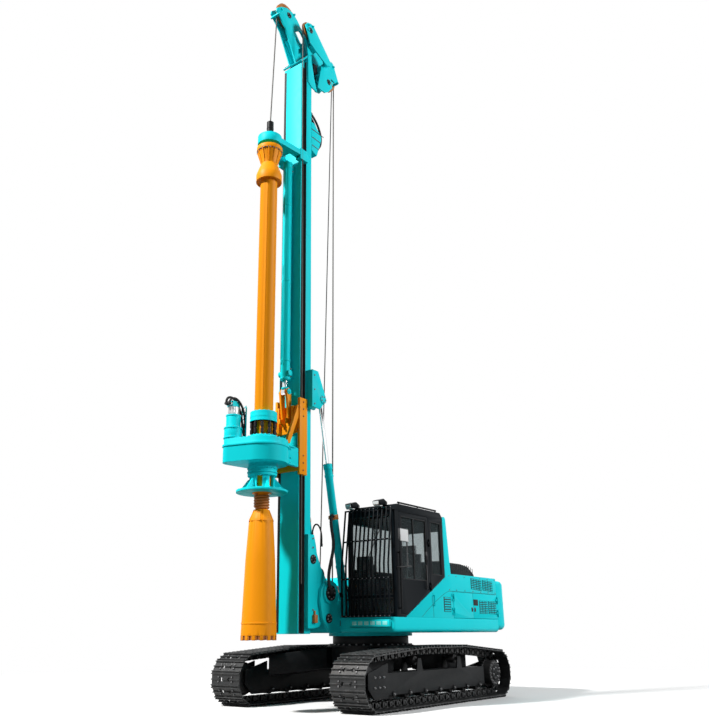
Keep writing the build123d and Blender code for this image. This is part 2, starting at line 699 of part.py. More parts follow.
door_window = (door_rear + 75, door_front - 80, cab_floor + 570, door_top - 65)
door_outline = [(door_rear + seam, slope_z(door_rear + seam) + slope_gap + seam),
                (door_sill, door_bottom + seam), (door_front - seam, door_bottom + seam),
                (door_front - seam, door_top - seam), (door_rear + seam, door_top - seam)]
with BuildPart() as cab_door:
    side_plate(door_outline, cab_outer - cab_wall, cab_outer)
    block(door_window[0], door_window[1], cab_outer - 70, cab_outer + 10, *door_window[2:],
          mode=Mode.SUBTRACT)
    for z in door_hinge_zs:
        upright_eye(door_rear + seam / 2, cab_outer + 16, z, door_rear + 50, cab_outer - 5)
cab_door.part.label = "cab_door"
export_step(cab_door.part, "parts/cab_door.step")

with BuildPart() as door_glass:
    block(door_window[0], door_window[1], cab_outer - 28, cab_outer - 20, *door_window[2:])
door_glass.part.label = "door_glass"
export_step(door_glass.part, "parts/door_glass.step")

cab_middle = (cab_inner + cab_outer) / 2
inside_floor = cab_floor + cab_wall
with BuildPart() as operator_seat:
    block(150, 560, cab_middle - 150, cab_middle + 150, inside_floor, inside_floor + 300)
    block(120, 640, cab_middle - 250, cab_middle + 250, inside_floor + 298, inside_floor + 430)
    side_plate([(120, inside_floor + 425), (250, inside_floor + 425), (160, inside_floor + 980),
                (60, inside_floor + 980)], cab_middle - 235, cab_middle + 235)
operator_seat.part.label = "operator_seat"
export_step(operator_seat.part, "parts/operator_seat.step")

with BuildPart() as control_console:
    for hand in (1, -1):
        y = cab_middle + hand * 330
        block(260, 760, y - 60, y + 60, inside_floor, inside_floor + 560)
        upright(690, y, 14, inside_floor + 555, inside_floor + 700)
        upright(690, y, 26, inside_floor + 690, inside_floor + 800)
    block(980, 1100, cab_inner + 80, cab_inner + 330, inside_floor, inside_floor + 900)
    for y in (cab_middle - 70, cab_middle + 70):
        upright(900, y, 12, inside_floor, inside_floor + 420)
control_console.part.label = "control_console"
export_step(control_console.part, "parts/control_console.step")

# The guard is a frame of upright bars in front of the windscreen, held to the cab.
guard_x = 1372
guard_low = deck_top + 6
guard_high = cab_roof - 50
guard_middle = cab_floor + 1160
guard_cross = cab_floor + 570
guard_lean = 125               # of the guard's top behind its upright lower half
guard_left = cab_outer - 40
guard_right = cab_inner - 16


def windscreen_x(z):
    """Where the cab's front face is at a height: upright, then leaning, then the brow."""
    brow_z = cab_roof - cab_brow
    if z < cab_bend:
        return cab_front
    if z < brow_z:
        return cab_front - cab_lean * (z - cab_bend) / (brow_z - cab_bend)
    return cab_front - cab_lean - (cab_brow - cab_lean) * (z - brow_z) / cab_brow


def guard_rear(z):
    """Where the guard's rear edge is at a height: upright, then leaning back."""
    return guard_x - guard_lean * max(0, z - cab_bend) / (guard_high - cab_bend)


with BuildPart() as front_guard:
    for number in range(guard_count):
        y = guard_right + number * (guard_left - guard_right) / (guard_count - 1)
        rear_edge = [(guard_rear(z), z) for z in (guard_high, cab_bend, guard_low)]
        front_edge = [(x + guard_bar, z) for x, z in reversed(rear_edge)]
        side_plate(rear_edge + front_edge, y - guard_bar / 2, y + guard_bar / 2)
    for z in (guard_low, guard_cross, guard_middle, guard_high - 24):
        x = guard_rear(z)
        block(x - 4, x + 14, guard_right - 8, guard_left + 8, z, z + 24)
    for y in (cab_inner + 24, guard_left - 40):
        for z in (guard_low + 5, guard_middle + 5, guard_high - 19):
            x = guard_rear(z)
            block(windscreen_x(z), x + 4, y, y + 14, z, z + 14)
front_guard.part.label = "front_guard"
export_step(front_guard.part, "parts/front_guard.step")

lamp_ys = (530, 1080)
with BuildPart() as work_lamps:
    for y in lamp_ys:
        side_plate([(1100, cab_roof), (1140, cab_roof), (1200, cab_roof - 15), (1330, cab_roof - 25),
                    (1350, cab_roof + 50), (1200, cab_roof + 95), (1100, cab_roof + 50)], y - 70,
                   y + 70)
work_lamps.part.label = "work_lamps"
export_step(work_lamps.part, "parts/work_lamps.step")

# A mirror on a bent arm stands out from the cab's front pillar.
mirror_arm_x = cab_front - 40
mirror_x = 1280
mirror_y = cab_outer + 250
mirror_z = cab_bend - 50
with BuildPart() as mirror:
    across(mirror_arm_x, mirror_z, 11, cab_outer, mirror_y + 11)
    lengthwise(mirror_y, mirror_z, 11, mirror_arm_x, mirror_x + 11)
    upright(mirror_x, mirror_y, 11, mirror_z, mirror_z + 380)
    side_plate([(mirror_x - 20, mirror_z + 360), (mirror_x + 200, mirror_z + 370),
                (mirror_x + 220, mirror_z + 390), (mirror_x + 220, mirror_z + 550),
                (mirror_x, mirror_z + 560), (mirror_x - 20, mirror_z + 540)], mirror_y - 18,
               mirror_y + 18)
mirror.part.label = "mirror"
export_step(mirror.part, "parts/mirror.step")

# Round rails: one up the cab's front pillar and one along its roof.
rail_radius = 15
with BuildPart() as handrails:
    upright(1150, cab_outer + 40, rail_radius, cab_floor + 110, cab_floor + 990)
    for z in (cab_floor + 130, cab_floor + 970):
        across(1150, z, 11, cab_outer, cab_outer + 40)
    lengthwise(cab_outer - 45, cab_roof + 34, rail_radius, -180, 1040)
    for x in (-160, 430, 1020):
        upright(x, cab_outer - 45, 11, cab_roof, cab_roof + 34)
handrails.part.label = "handrails"
export_step(handrails.part, "parts/handrails.step")

# ---- mast -------------------------------------------------------------------------------
# The mast is a welded box. Its front plate stands proud on both sides as guide rails for
# the carriages, with a deep groove behind. The top is cut to the slope of the head.
head_run = mast_front - mast_rear
mast_high = mast_top + head_run * tan(radians(head_slope))
core_half = mast_half_width - rail_inset
groove_front = mast_front - rail_plate
groove_rear = groove_front - rail_recess
with BuildPart() as mast_box:
    side_plate([(mast_rear, mast_bottom), (mast_front, mast_bottom), (mast_front, mast_top),
                (mast_rear, mast_high)], -mast_half_width, mast_half_width)
    for hand in (1, -1):
        block(groove_rear, groove_front, hand * core_half, hand * (mast_half_width + 1),
              mast_bottom - 1, mast_high + 1, mode=Mode.SUBTRACT)
mast_box.part.label = "mast_box"
export_step(mast_box.part, "parts/mast_box.step")

# Two foot plates reach back from the mast to the hinge pin, and carry the service winch.
foot_side = [(mast_rear, 1150), (mast_rear, 2560), (1900, 2420), (1870, 2270), (1760, 2050),
             (1600, 1845), (1460, 1780), (1440, 1600), (1560, 1500), (1700, 1420), (1800, 1180)]
winch2_x = 1700
winch2_z = 1960
with BuildPart() as mast_foot:
    for hand in (1, -1):
        y0 = hand * (foot_gap - 25)
        y1 = hand * (foot_gap + foot_plate)
        side_plate(foot_side, y0, y1)
        block(mast_rear - 4, mast_rear + 150, hand * mast_half_width, y1, 1150, 2560)
        across(hinge_x, hinge_z, hinge_pin_radius + pin_clearance, hand * 200, hand * 400,
               mode=Mode.SUBTRACT)
mast_foot.part.label = "mast_foot"
export_step(mast_foot.part, "parts/mast_foot.step")


def leaning(x, y, z, angle, radius, start, length, mode=Mode.ADD):
    """A round bar leaning forward from upright by angle, from start to length along itself."""
    lean = radians(angle)
    way = Vector(sin(lean), 0, cos(lean))
    foot = Vector(slew_x + x, y, z) + way * start
    with BuildSketch(Plane(origin=foot, x_dir=(0, 1, 0), z_dir=way)) as face:
        Circle(radius)
    extrude(face.sketch, amount=length - start, mode=mode)


# A pair of tapered brackets on the back of the mast takes the eyes of the tilt cylinders.
bracket_side = [(2090, 5290), (1930, 5290), (1730, 4890), (1720, 4800), (1780, 4745), (1880, 4640),
                (2090, 4640)]
with BuildPart() as cylinder_brackets:
    for hand in (1, -1):
        for y in (ear_inner - ear_thick, ear_outer):
            side_plate(bracket_side, hand * y, hand * (y + ear_thick))
        block(1955, 2090, hand * mast_half_width, hand * (ear_outer + 5), 4640, 5290)
        across(tilt_eye_x, tilt_eye_z, 74, hand * (ear_outer + ear_thick - 1),
               hand * (ear_outer + ear_thick + 14))
cylinder_brackets.part.label = "cylinder_brackets"
export_step(cylinder_brackets.part, "parts/cylinder_brackets.step")

tilt_span = Vector(tilt_eye_x - tilt_foot_x, 0, tilt_eye_z - tilt_foot_z)
tilt_lean = degrees(atan2(tilt_span.X, tilt_span.Z))
tilt_length = tilt_span.length
tilt_foot = (tilt_foot_x, tilt_foot_z)
with BuildPart() as tilt_barrels:
    for y in (tilt_y, -tilt_y):
        axis_foot = (tilt_foot_x, y, tilt_foot_z, tilt_lean)
        leaning(*axis_foot, 36, 0, 105)
        leaning(*axis_foot, tilt_barrel_radius, 100, tilt_barrel_length)
        leaning(*axis_foot, tilt_barrel_radius + 9, tilt_barrel_length - 90, tilt_barrel_length)
        across(*tilt_foot, eye_radius, y - eye_width / 2, y + eye_width / 2)
        across(*tilt_foot, tilt_pin_radius + pin_clearance, y - eye_width, y + eye_width,
               mode=Mode.SUBTRACT)
        leaning(*axis_foot, tilt_rod_radius + rod_clearance, 160, tilt_barrel_length + 5,
                mode=Mode.SUBTRACT)
tilt_barrels.part.label = "tilt_barrels"
export_step(tilt_barrels.part, "parts/tilt_barrels.step")

with BuildPart() as tilt_rods:
    for y in (tilt_y, -tilt_y):
        axis_foot = (tilt_foot_x, y, tilt_foot_z, tilt_lean)
        leaning(*axis_foot, tilt_rod_radius, tilt_length - tilt_rod_length, tilt_length - 10)
        leaning(*axis_foot, tilt_rod_radius + 5, tilt_length - 150, tilt_length - 40)
        across(tilt_eye_x, tilt_eye_z, eye_radius, y - eye_width / 2, y + eye_width / 2)
tilt_rods.part.label = "tilt_rods"
export_step(tilt_rods.part, "parts/tilt_rods.step")

# The crowd cylinder stands on the mast's face, and its rod pushes the rotary head down.
crowd_mount = 115
with BuildPart() as crowd_cylinder:
    upright(crowd_x, 0, crowd_barrel_radius, crowd_barrel_bottom, crowd_barrel_top)
    for low, high in ((5120, 5330), (9100, 9280)):
        block(mast_front, crowd_x, -70, 70, low, high)
    across(crowd_x, 5205, 52, -crowd_mount, crowd_mount)
    upright(crowd_x, 0, crowd_rod_radius + rod_clearance, crowd_barrel_bottom - 5,
            crowd_barrel_top - 60, mode=Mode.SUBTRACT)
crowd_cylinder.part.label = "crowd_cylinder"
export_step(crowd_cylinder.part, "parts/crowd_cylinder.step")

with BuildPart() as crowd_rod:
    upright(crowd_x, 0, crowd_rod_radius, crowd_eye_z, crowd_barrel_bottom + crowd_travel + 400)
    across(crowd_x, crowd_eye_z, 62, -38, 38)
crowd_rod.part.label = "crowd_rod"
export_step(crowd_rod.part, "parts/crowd_rod.step")

# ---- rope head --------------------------------------------------------------------------
# Each sheave: x, y, z of its pin, its radius at the rim and its thickness.
main_front = (2500, 0, mast_top + head_height - 10, 270, 62)
main_rear = (1165, 0, mast_top + 380, 235, 62)
service_front = (2110, 262, mast_top + 820, 185, 46)
service_rear = (1400, 165, mast_top + 70, 185, 46)
sheave_pin = 36
rope_groove = 22
sheaves = {"main_front_sheave": main_front, "main_rear_sheave": main_rear,
           "service_front_sheave": service_front, "service_rear_sheave": service_rear}
for label, (x, y, z, radius, thick) in sheaves.items():
    hub = 80
    web = 9
    bottom = radius - rope_groove
    bore = sheave_pin + pin_clearance
    half = thick / 2
    profile = [(bore, -half), (hub, -half), (hub, -web), (bottom - 26, -web), (bottom - 20, -half + 6),
               (radius, -half + 6), (bottom, -10), (bottom, 10), (radius, half - 6),
               (bottom - 20, half - 6), (bottom - 26, web), (hub, web), (hub, half), (bore, half)]
    with BuildPart() as sheave:
        face_plane = Plane(origin=(slew_x + x, y, z), x_dir=(1, 0, 0), z_dir=(0, 0, 1))
        with BuildSketch(face_plane):
            with BuildLine():
                Polyline(*profile, close=True)
            make_face()
        revolve(axis=Axis((slew_x + x, y, z), (0, 1, 0)))
    sheave.part.label = label
    export_step(sheave.part, f"parts/{label}.step")

# The head is welded up from pairs of plates: a forward arm over the kelly, a shorter arm
# beside it for the service rope, and a rear fork where both ropes turn down.
slope_way = radians(head_slope)
foot_front = (mast_front + 14, mast_top + 6)
foot_length = 680                # where it is as wide as the mast
fork_length = 960
foot_rear = (foot_front[0] - foot_length * cos(slope_way), foot_front[1] + foot_length * sin(slope_way))
foot_thick = 34
foot_half = 226
up_x = sin(slope_way)
up_z = cos(slope_way)


def on_foot(along, above):
    """A point in side view, along the sloping foot plate from its front and above it."""
    x = foot_front[0] - along * cos(slope_way) + above * up_x
    z = foot_front[1] + along * sin(slope_way) + above * up_z
    return x, z


fork_y = 60
front_arm = [on_foot(15, 20), on_foot(925, 20), (1975, mast_top + 825), (2240, mast_top + 1095),
             (2400, mast_top + 1185), (2570, mast_top + 1175), (2730, mast_top + 1085),
             (2850, mast_top + 975), (2865, mast_top + 895), (2595, mast_top + 655)]
service_arm = [on_foot(330, 10), on_foot(495, 10), (1880, mast_top + 600), (1980, mast_top + 890),
               (2040, mast_top + 980), (2150, mast_top + 970), (2215, mast_top + 820),
               (2170, mast_top + 710), (2120, mast_top + 560)]
service_beam = [(2210, mast_top + 720), (2260, mast_top + 860), (2200, mast_top + 950),
                (2090, mast_top + 994), (2010, mast_top + 990), (1435, mast_top + 453),
                (1560, mast_top + 310), (1930, mast_top + 430), (2130, mast_top + 520)]
service_ties = [[(1900, mast_top + 440), (2060, mast_top + 500), (2040, mast_top + 560),
                 (1890, mast_top + 510)],
                [(1470, mast_top + 380), (1560, mast_top + 340), (1600, mast_top + 380),
                 (1520, mast_top + 440)]]
rear_fork = [on_foot(545, 10), on_foot(955, 10), (1190, mast_top + 610), (1050, mast_top + 550),
             (1040, mast_top + 300), (1140, mast_top + 220), (1330, mast_top - 20),
             (1460, mast_top - 60), (1640, mast_top + 120)]
fork_cheek = [(1676, mast_top + 157), (1600, mast_top + 400), (1460, mast_top + 420),
              (1310, mast_top + 635), (1240, mast_top + 610), (1060, mast_top + 245),
              (1200, mast_top + 175), (1340, mast_top + 205), (1278, mast_top + 2),
              (1400, mast_top - 160), (1525, mast_top - 265), (1758, mast_top - 279)]
fork_tie = [(1590, mast_top + 130), (1660, mast_top + 150), (1640, mast_top + 330),
            (1570, mast_top + 310)]
pin_plate = [on_foot(300, 15), on_foot(420, 15), (1946, mast_top + 100), (1892, mast_top - 144),
             (1796, mast_top - 421), (1944, mast_top - 415), (2075, mast_top - 340)]
with BuildPart() as mast_head:
    side_plate([foot_front, foot_rear, on_foot(foot_length, foot_thick), on_foot(0, foot_thick)],
               -foot_half, foot_half)
    side_plate([on_foot(foot_length - 5, 0), on_foot(fork_length, 0), on_foot(fork_length, foot_thick),
                on_foot(foot_length - 5, foot_thick)], -86, 86)
    for y in (fork_y, -fork_y - 26):
        side_plate(front_arm, y, y + 26)
    side_plate(service_arm, service_front[1] - 58, service_front[1] - 36)
    side_plate(service_beam, service_front[1] + 36, service_front[1] + 58)
    side_plate(service_ties[0], service_front[1] - 58, service_front[1] + 58)
    side_plate(service_ties[1], fork_y, service_front[1] + 58)
    for y in (-86, 54):
        side_plate(rear_fork, y, y + 26)
    side_plate(fork_cheek, 205, 227)
    side_plate(fork_tie, 54, 227)
    across(service_rear[0], service_rear[2], sheave_pin, 54, 227)
    side_plate(pin_plate, mast_half_width, mast_half_width + 20)
    for y in (-fork_y, fork_y - 30):
        side_plate([on_foot(180, 20), on_foot(600, 20), on_foot(560, 460), on_foot(230, 460)], y, y + 30)
    for x, y, z, radius, thick in sheaves.values():
        reach = 82 if y == 0 else 54
        across(x, z, sheave_pin, y - reach, y + reach)
mast_head.part.label = "mast_head"
export_step(mast_head.part, "parts/mast_head.step")

# The service winch sits between the mast's foot plates.
with BuildPart() as service_winch_frame:
    for hand in (1, -1):
        across(winch2_x, winch2_z, 105, hand * 165, hand * (foot_gap - 25))
    across(winch2_x, winch2_z, winch_pin, -170, 170)
service_winch_frame.part.label = "service_winch_frame"
export_step(service_winch_frame.part, "parts/service_winch_frame.step")

with BuildPart() as service_winch_drum:
    across(winch2_x, winch2_z, drum_core, -155, 155)
    for y in (-155, 137):
        across(winch2_x, winch2_z, drum_radius - 10, y, y + 18)
    across(winch2_x, winch2_z, winch_pin + pin_clearance, -160, 160, mode=Mode.SUBTRACT)
service_winch_drum.part.label = "service_winch_drum"
export_step(service_winch_drum.part, "parts/service_winch_drum.step")

# A dark box for the hoses hangs high on the back of the mast.
with BuildPart() as hose_guide:
    side_plate([(mast_rear, 9760), (mast_rear, 10390), (1860, 10400), (1640, 10210), (1640, 10120),
                (1780, 9700)], 70, 220)
hose_guide.part.label = "hose_guide"
export_step(hose_guide.part, "parts/hose_guide.step")

# ---- rotary head ------------------------------------------------------------------------
# The gearbox has a round housing on the kelly's axis and a bulge under its motor. A fixed
# neck hangs below it and the drive sleeve turns inside.
sleeve_outer = 200
sleeve_inner = kelly_radius + kelly_clearance
neck_bottom = 3430
lug_y = 195
claw_out = mast_half_width + slide_clearance
claw_y = (core_half + 10, claw_out + carriage_wall)
plate_front = mast_front + 44
with BuildPart() as rotary_gearbox:
    for low, high, grow in ((gear_bottom, gear_seam - 30, 0), (gear_seam - 30, gear_seam, 14),
                            (gear_seam, gear_top, -8)):
        with BuildSketch(plan.offset(low)):
            with Locations((kelly_x, 0)):
                Circle(gear_radius - 14 + grow)
            with Locations((motor_x, motor_y)):
                Circle(motor_bulge - 14 + grow)
            make_hull()
        extrude(amount=high - low)
    upright(kelly_x, 0, 222, neck_bottom, gear_bottom)
    for hand in (1, -1):
        block(plate_front, 2620, hand * lug_y, hand * (lug_y + 50), gear_bottom + 20, gear_top - 40)
    upright(kelly_x, 0, sleeve_outer + slide_clearance, neck_bottom - 1, gear_top + 1, mode=Mode.SUBTRACT)
rotary_gearbox.part.label = "rotary_gearbox"
export_step(rotary_gearbox.part, "parts/rotary_gearbox.step")

with BuildPart() as drive_motor:
    upright(motor_x, motor_y, 140, gear_top, 4140)
    upright(motor_x, motor_y, 115, 4140, 4340)
    upright(motor_x, motor_y, 82, 4340, 4480)
    block(motor_x - 80, motor_x + 90, motor_y - 60, motor_y + 60, 4480, 4570)
drive_motor.part.label = "drive_motor"
export_step(drive_motor.part, "parts/drive_motor.step")

# The orange carriage slides on the mast's front rails and carries the gearbox.
with BuildPart() as head_carriage:
    for hand in (1, -1):
        block(groove_rear + 6, plate_front, hand * claw_out, hand * claw_y[1], carriage_bottom,
              carriage_top)
        for low in (carriage_bottom, carriage_top - 380):
            block(groove_rear + 6, groove_front - 8, hand * claw_y[0], hand * (claw_out + 2), low,
                  low + 380)
        side_plate([(plate_front - 20, 4640), (plate_front + 20, 4640), (2600, gear_top),
                    (2515, gear_top), (plate_front - 20, 4480)], hand * lug_y, hand * (lug_y + 50))
    for low, high in ((carriage_bottom + 60, 3900), (4180, 4640)):
        block(mast_front + 10, plate_front, -claw_y[1], claw_y[1], low, high)
    for hand in (1, -1):
        side_plate([(plate_front - 10, 4300), (plate_front + 40, 4300), (crowd_x + 60, crowd_eye_z),
                    (crowd_x, crowd_eye_z + 70), (crowd_x - 60, crowd_eye_z)], hand * 48, hand * 88)
head_carriage.part.label = "head_carriage"
export_step(head_carriage.part, "parts/head_carriage.step")

# The drive sleeve turns the kelly. It ends in an open cage and a wide disc below the
# gearbox, and a ring on short buffers stands over it.
window_low = disc_bottom + 75
window_high = 3380
with BuildPart() as drive_sleeve:
    upright(kelly_x, 0, sleeve_outer, disc_bottom + 10, gear_top + 40)
    upright(kelly_x, 0, disc_radius, disc_bottom, disc_bottom + 34)
    upright(kelly_x, 0, sleeve_outer + 28, 3385, neck_bottom - slide_clearance)
    with BuildSketch(plan.offset(window_low)) as windows:
        with Locations((kelly_x, 0)):
            with PolarLocations(sleeve_outer, 6, start_angle=30):
                Rectangle(130, 90)
    extrude(windows.sketch, amount=window_high - window_low, mode=Mode.SUBTRACT)
    for number in range(6):
        turn = radians(60 * number)
        rib_plane = Plane(origin=(slew_x + kelly_x, 0, 0), x_dir=(cos(turn), sin(turn), 0),
                          z_dir=(sin(turn), -cos(turn), 0))
        with BuildSketch(rib_plane) as rib:
            with BuildLine():
                Polyline((sleeve_outer - 15, disc_bottom + 30), (disc_radius - 40, disc_bottom + 30),
                         (sleeve_outer + 20, 3340), (sleeve_outer - 15, 3340), close=True)
            make_face()
        extrude(rib.sketch, amount=13, both=True)
    upright(kelly_x, 0, sleeve_inner, disc_bottom - 1, gear_top + 60, mode=Mode.SUBTRACT)
drive_sleeve.part.label = "drive_sleeve"
export_step(drive_sleeve.part, "parts/drive_sleeve.step")

buffer_foot = gear_top + 40
with BuildPart() as kelly_buffer:
    upright(kelly_x, 0, damper_radius, damper_bottom, damper_top)
    upright(kelly_x, 0, damper_radius + 12, buffer_foot, buffer_foot + 30)
    with BuildSketch(plan.offset(buffer_foot)) as posts:
        with Locations((kelly_x, 0)):
            with PolarLocations(damper_radius - 26, 10):
                Circle(17)
    extrude(posts.sketch, amount=damper_bottom - buffer_foot + 5)
    upright(kelly_x, 0, sleeve_inner, buffer_foot - 1, damper_top + 1, mode=Mode.SUBTRACT)
kelly_buffer.part.label = "kelly_buffer"
export_step(kelly_buffer.part, "parts/kelly_buffer.step")

# ---- kelly ------------------------------------------------------------------------------
# The kelly hangs by its head in a guide that runs on the mast's rails. The guide's yoke is
# open at the back, so that it can pass the crowd cylinder.
neck_radius = 108
kelly_head_low = 8650
with BuildPart() as kelly_guide:
    upright(kelly_x, 0, guide_radius, guide_bottom, guide_top)
    with BuildSketch(plan.offset(guide_bottom + 10)) as yoke:
        with BuildLine():
            Polyline((kelly_x - 40, -guide_radius + 8), (kelly_x - 40, guide_radius - 8),
                     (plate_front, claw_y[1]), (plate_front, -claw_y[1]), close=True)
        make_face()
    extrude(yoke.sketch, amount=110)
    for hand in (1, -1):
        block(groove_rear + 6, plate_front + 30, hand * claw_out, hand * claw_y[1], guide_bottom - 60,
              guide_bottom + 160)
        block(groove_rear + 6, groove_front - 8, hand * claw_y[0], hand * (claw_out + 2),
              guide_bottom - 60, guide_bottom + 160)
        block(mast_front + 8, plate_front + 30, hand * 150, hand * (claw_out + 2), guide_bottom - 60,
              guide_bottom + 120)
    block(mast_front - 20, crowd_x + crowd_barrel_radius + 20, -crowd_mount - 8, crowd_mount + 8,
          guide_bottom - 300, guide_top, mode=Mode.SUBTRACT)
    upright(kelly_x, 0, neck_radius + 2, guide_bottom - 1, guide_top - 40, mode=Mode.SUBTRACT)
kelly_guide.part.label = "kelly_guide"
export_step(kelly_guide.part, "parts/kelly_guide.step")

with BuildPart() as rope_swivel:
    upright(kelly_x, 0, swivel_radius, guide_top, swivel_top)
rope_swivel.part.label = "rope_swivel"
export_step(rope_swivel.part, "parts/rope_swivel.step")

kelly_tube_low = 3120
with BuildPart() as kelly_bar:
    turned(kelly_x, 0, [(0, bucket_top), (96, bucket_top), (96, kelly_tube_low),
                        (kelly_radius, kelly_tube_low), (kelly_radius, kelly_head_low + 20),
                        (205, kelly_head_low + 20), (205, kelly_head_low), (228, kelly_head_low),
                        (228, 8790), (190, 8900), (146, 9010), (160, 9080), (215, 9270), (231, 9270),
                        (231, 9350), (neck_radius, 9350), (neck_radius, guide_top - 50),
                        (0, guide_top - 50)])
kelly_bar.part.label = "kelly_bar"
export_step(kelly_bar.part, "parts/kelly_bar.step")

tooth_ring = 250
with BuildPart() as drilling_bucket:
    turned(kelly_x, 0, [(0, bucket_top), (118, bucket_top), (186, bucket_shoulder), (224, 2120),
                        (258, 1180), (262, bucket_bottom), (236, bucket_bottom),
                        (236, bucket_bottom + 70), (0, bucket_bottom + 70)])
    with BuildSketch(plan.offset(bucket_tip)) as teeth:
        with Locations((kelly_x, 0)):
            with PolarLocations(tooth_ring, 14):
                Rectangle(22, 46)
    extrude(teeth.sketch, amount=bucket_bottom - bucket_tip + 10)
drilling_bucket.part.label = "drilling_bucket"
export_step(drilling_bucket.part, "parts/drilling_bucket.step")
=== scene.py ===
import json
from math import acos, atan2, cos, pi, radians, sin

import bmesh
import bpy
from mathutils import Matrix, Vector


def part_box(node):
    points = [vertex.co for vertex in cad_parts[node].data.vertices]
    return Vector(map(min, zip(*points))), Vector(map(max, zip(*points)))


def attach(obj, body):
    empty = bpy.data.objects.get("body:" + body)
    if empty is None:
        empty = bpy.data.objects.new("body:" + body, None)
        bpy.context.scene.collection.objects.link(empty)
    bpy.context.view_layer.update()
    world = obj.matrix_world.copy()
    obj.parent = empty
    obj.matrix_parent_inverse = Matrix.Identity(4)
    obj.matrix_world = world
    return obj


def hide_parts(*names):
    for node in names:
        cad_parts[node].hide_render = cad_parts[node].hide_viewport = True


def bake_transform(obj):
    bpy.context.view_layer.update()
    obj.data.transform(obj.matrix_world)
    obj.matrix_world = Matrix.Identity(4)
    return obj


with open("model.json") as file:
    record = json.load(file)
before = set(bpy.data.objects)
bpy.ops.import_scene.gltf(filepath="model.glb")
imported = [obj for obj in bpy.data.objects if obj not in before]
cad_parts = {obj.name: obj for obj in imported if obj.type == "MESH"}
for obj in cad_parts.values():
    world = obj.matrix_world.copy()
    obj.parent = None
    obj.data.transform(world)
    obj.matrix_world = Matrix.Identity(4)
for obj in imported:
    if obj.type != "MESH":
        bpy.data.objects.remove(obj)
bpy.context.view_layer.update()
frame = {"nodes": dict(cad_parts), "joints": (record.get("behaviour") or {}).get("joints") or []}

# ---- studio ---------------------------------------------------------------------------------
# A pale floor that fades to a white surround, one broad soft key from high in front of the
# machine, and an even fill from all round. The camera stands at the machine's front left.
scene = bpy.context.scene
scene.view_settings.view_transform = "Standard"
pins = {joint["name"]: Vector(joint["pos_m"]) for joint in frame["joints"] if "pos_m" in joint}
slew_x = pins["slew"].x

eye = bpy.data.cameras.new("view_camera")
eye.sensor_width = 36
eye.lens = 39.435
eye.shift_x = 0.0353
eye.shift_y = -0.0014
eye.clip_end = 400
camera = bpy.data.objects.new("view_camera", eye)
heading = Matrix.Rotation(radians(127.15), 4, "Z")
raised = Matrix.Rotation(radians(90 + 19.38), 4, "X")
level = Matrix.Rotation(radians(-0.33), 4, "Z")
camera.matrix_world = Matrix.Translation((slew_x + 11.952, 8.191, 1.059)) @ heading @ raised @ level
scene.collection.objects.link(camera)
scene.camera = camera


def wire(tree, *pairs):
    """Links each pair of (output, input) in a node tree."""
    for source, target in pairs:
        tree.links.new(source, target)


def shader_material(name):
    """A new node material with its tree, its Principled shader and its output."""
    material = bpy.data.materials.new(name)
    material.use_nodes = True
    tree = material.node_tree
    return material, tree, tree.nodes["Principled BSDF"], tree.nodes["Material Output"]


def lamp(name, size, power, place, target, colour):
    """A square studio lamp that faces a point."""
    light = bpy.data.lights.new(name, "AREA")
    light.shape = "SQUARE"
    light.size = size
    light.energy = power
    light.color = colour
    holder = bpy.data.objects.new(name, light)
    holder.location = place
    holder.rotation_euler = (Vector(target) - Vector(place)).to_track_quat("-Z", "Y").to_euler()
    scene.collection.objects.link(holder)


lamp("key_lamp", 4, 29000, (28, -10.8, 32), (1, 0, 5), (1.0, 0.99, 0.97))
lamp("side_lamp", 8, 4800, (-7, 21, 12.5), (0, 0, 5), (0.97, 0.99, 1.0))
lamp("rim_lamp", 10, 900, (-17, -9, 15), (0, 0, 4), (1.0, 1.0, 1.0))

# The surround is white to the eye and in what the metal and glass mirror, and a low even fill
# to everything else.
surround = bpy.data.node_groups.new("studio_surround", "ShaderNodeTree")
for label, direction, default in (("Fill", "INPUT", 0.12), ("Seen", "INPUT", 1.0), ("Level", "OUTPUT", 0.0)):
    socket = surround.interface.new_socket(label, in_out=direction, socket_type="NodeSocketFloat")
    socket.default_value = default
levels = surround.nodes.new("NodeGroupInput")
level = surround.nodes.new("NodeGroupOutput")
rays = surround.nodes.new("ShaderNodeLightPath")
eye_or_mirror = surround.nodes.new("ShaderNodeMath")
eye_or_mirror.operation = "MAXIMUM"
any_seen = surround.nodes.new("ShaderNodeMath")
any_seen.operation = "MAXIMUM"
choice = surround.nodes.new("ShaderNodeMapRange")
wire(surround, (rays.outputs["Is Camera Ray"], eye_or_mirror.inputs[0]),
     (rays.outputs["Is Glossy Ray"], eye_or_mirror.inputs[1]),
     (eye_or_mirror.outputs[0], any_seen.inputs[0]),
     (rays.outputs["Is Transmission Ray"], any_seen.inputs[1]),
     (any_seen.outputs[0], choice.inputs["Value"]),
     (levels.outputs["Fill"], choice.inputs["To Min"]),
     (levels.outputs["Seen"], choice.inputs["To Max"]),
     (choice.outputs[0], level.inputs["Level"]))


def surround_level(tree, fill=0.12, seen=1.0):
    """The surround's level in a node tree, as a socket."""
    node = tree.nodes.new("ShaderNodeGroup")
    node.node_tree = surround
    node.inputs["Fill"].default_value = fill
    node.inputs["Seen"].default_value = seen
    return node.outputs["Level"]


world = bpy.data.worlds.new("studio")
scene.world = world
world.use_nodes = True
sky = world.node_tree
room_fill = 0.14
sky.nodes["Background"].inputs["Color"].default_value = (1, 1, 1, 1)
wire(sky, (surround_level(sky, room_fill), sky.nodes["Background"].inputs["Strength"]))

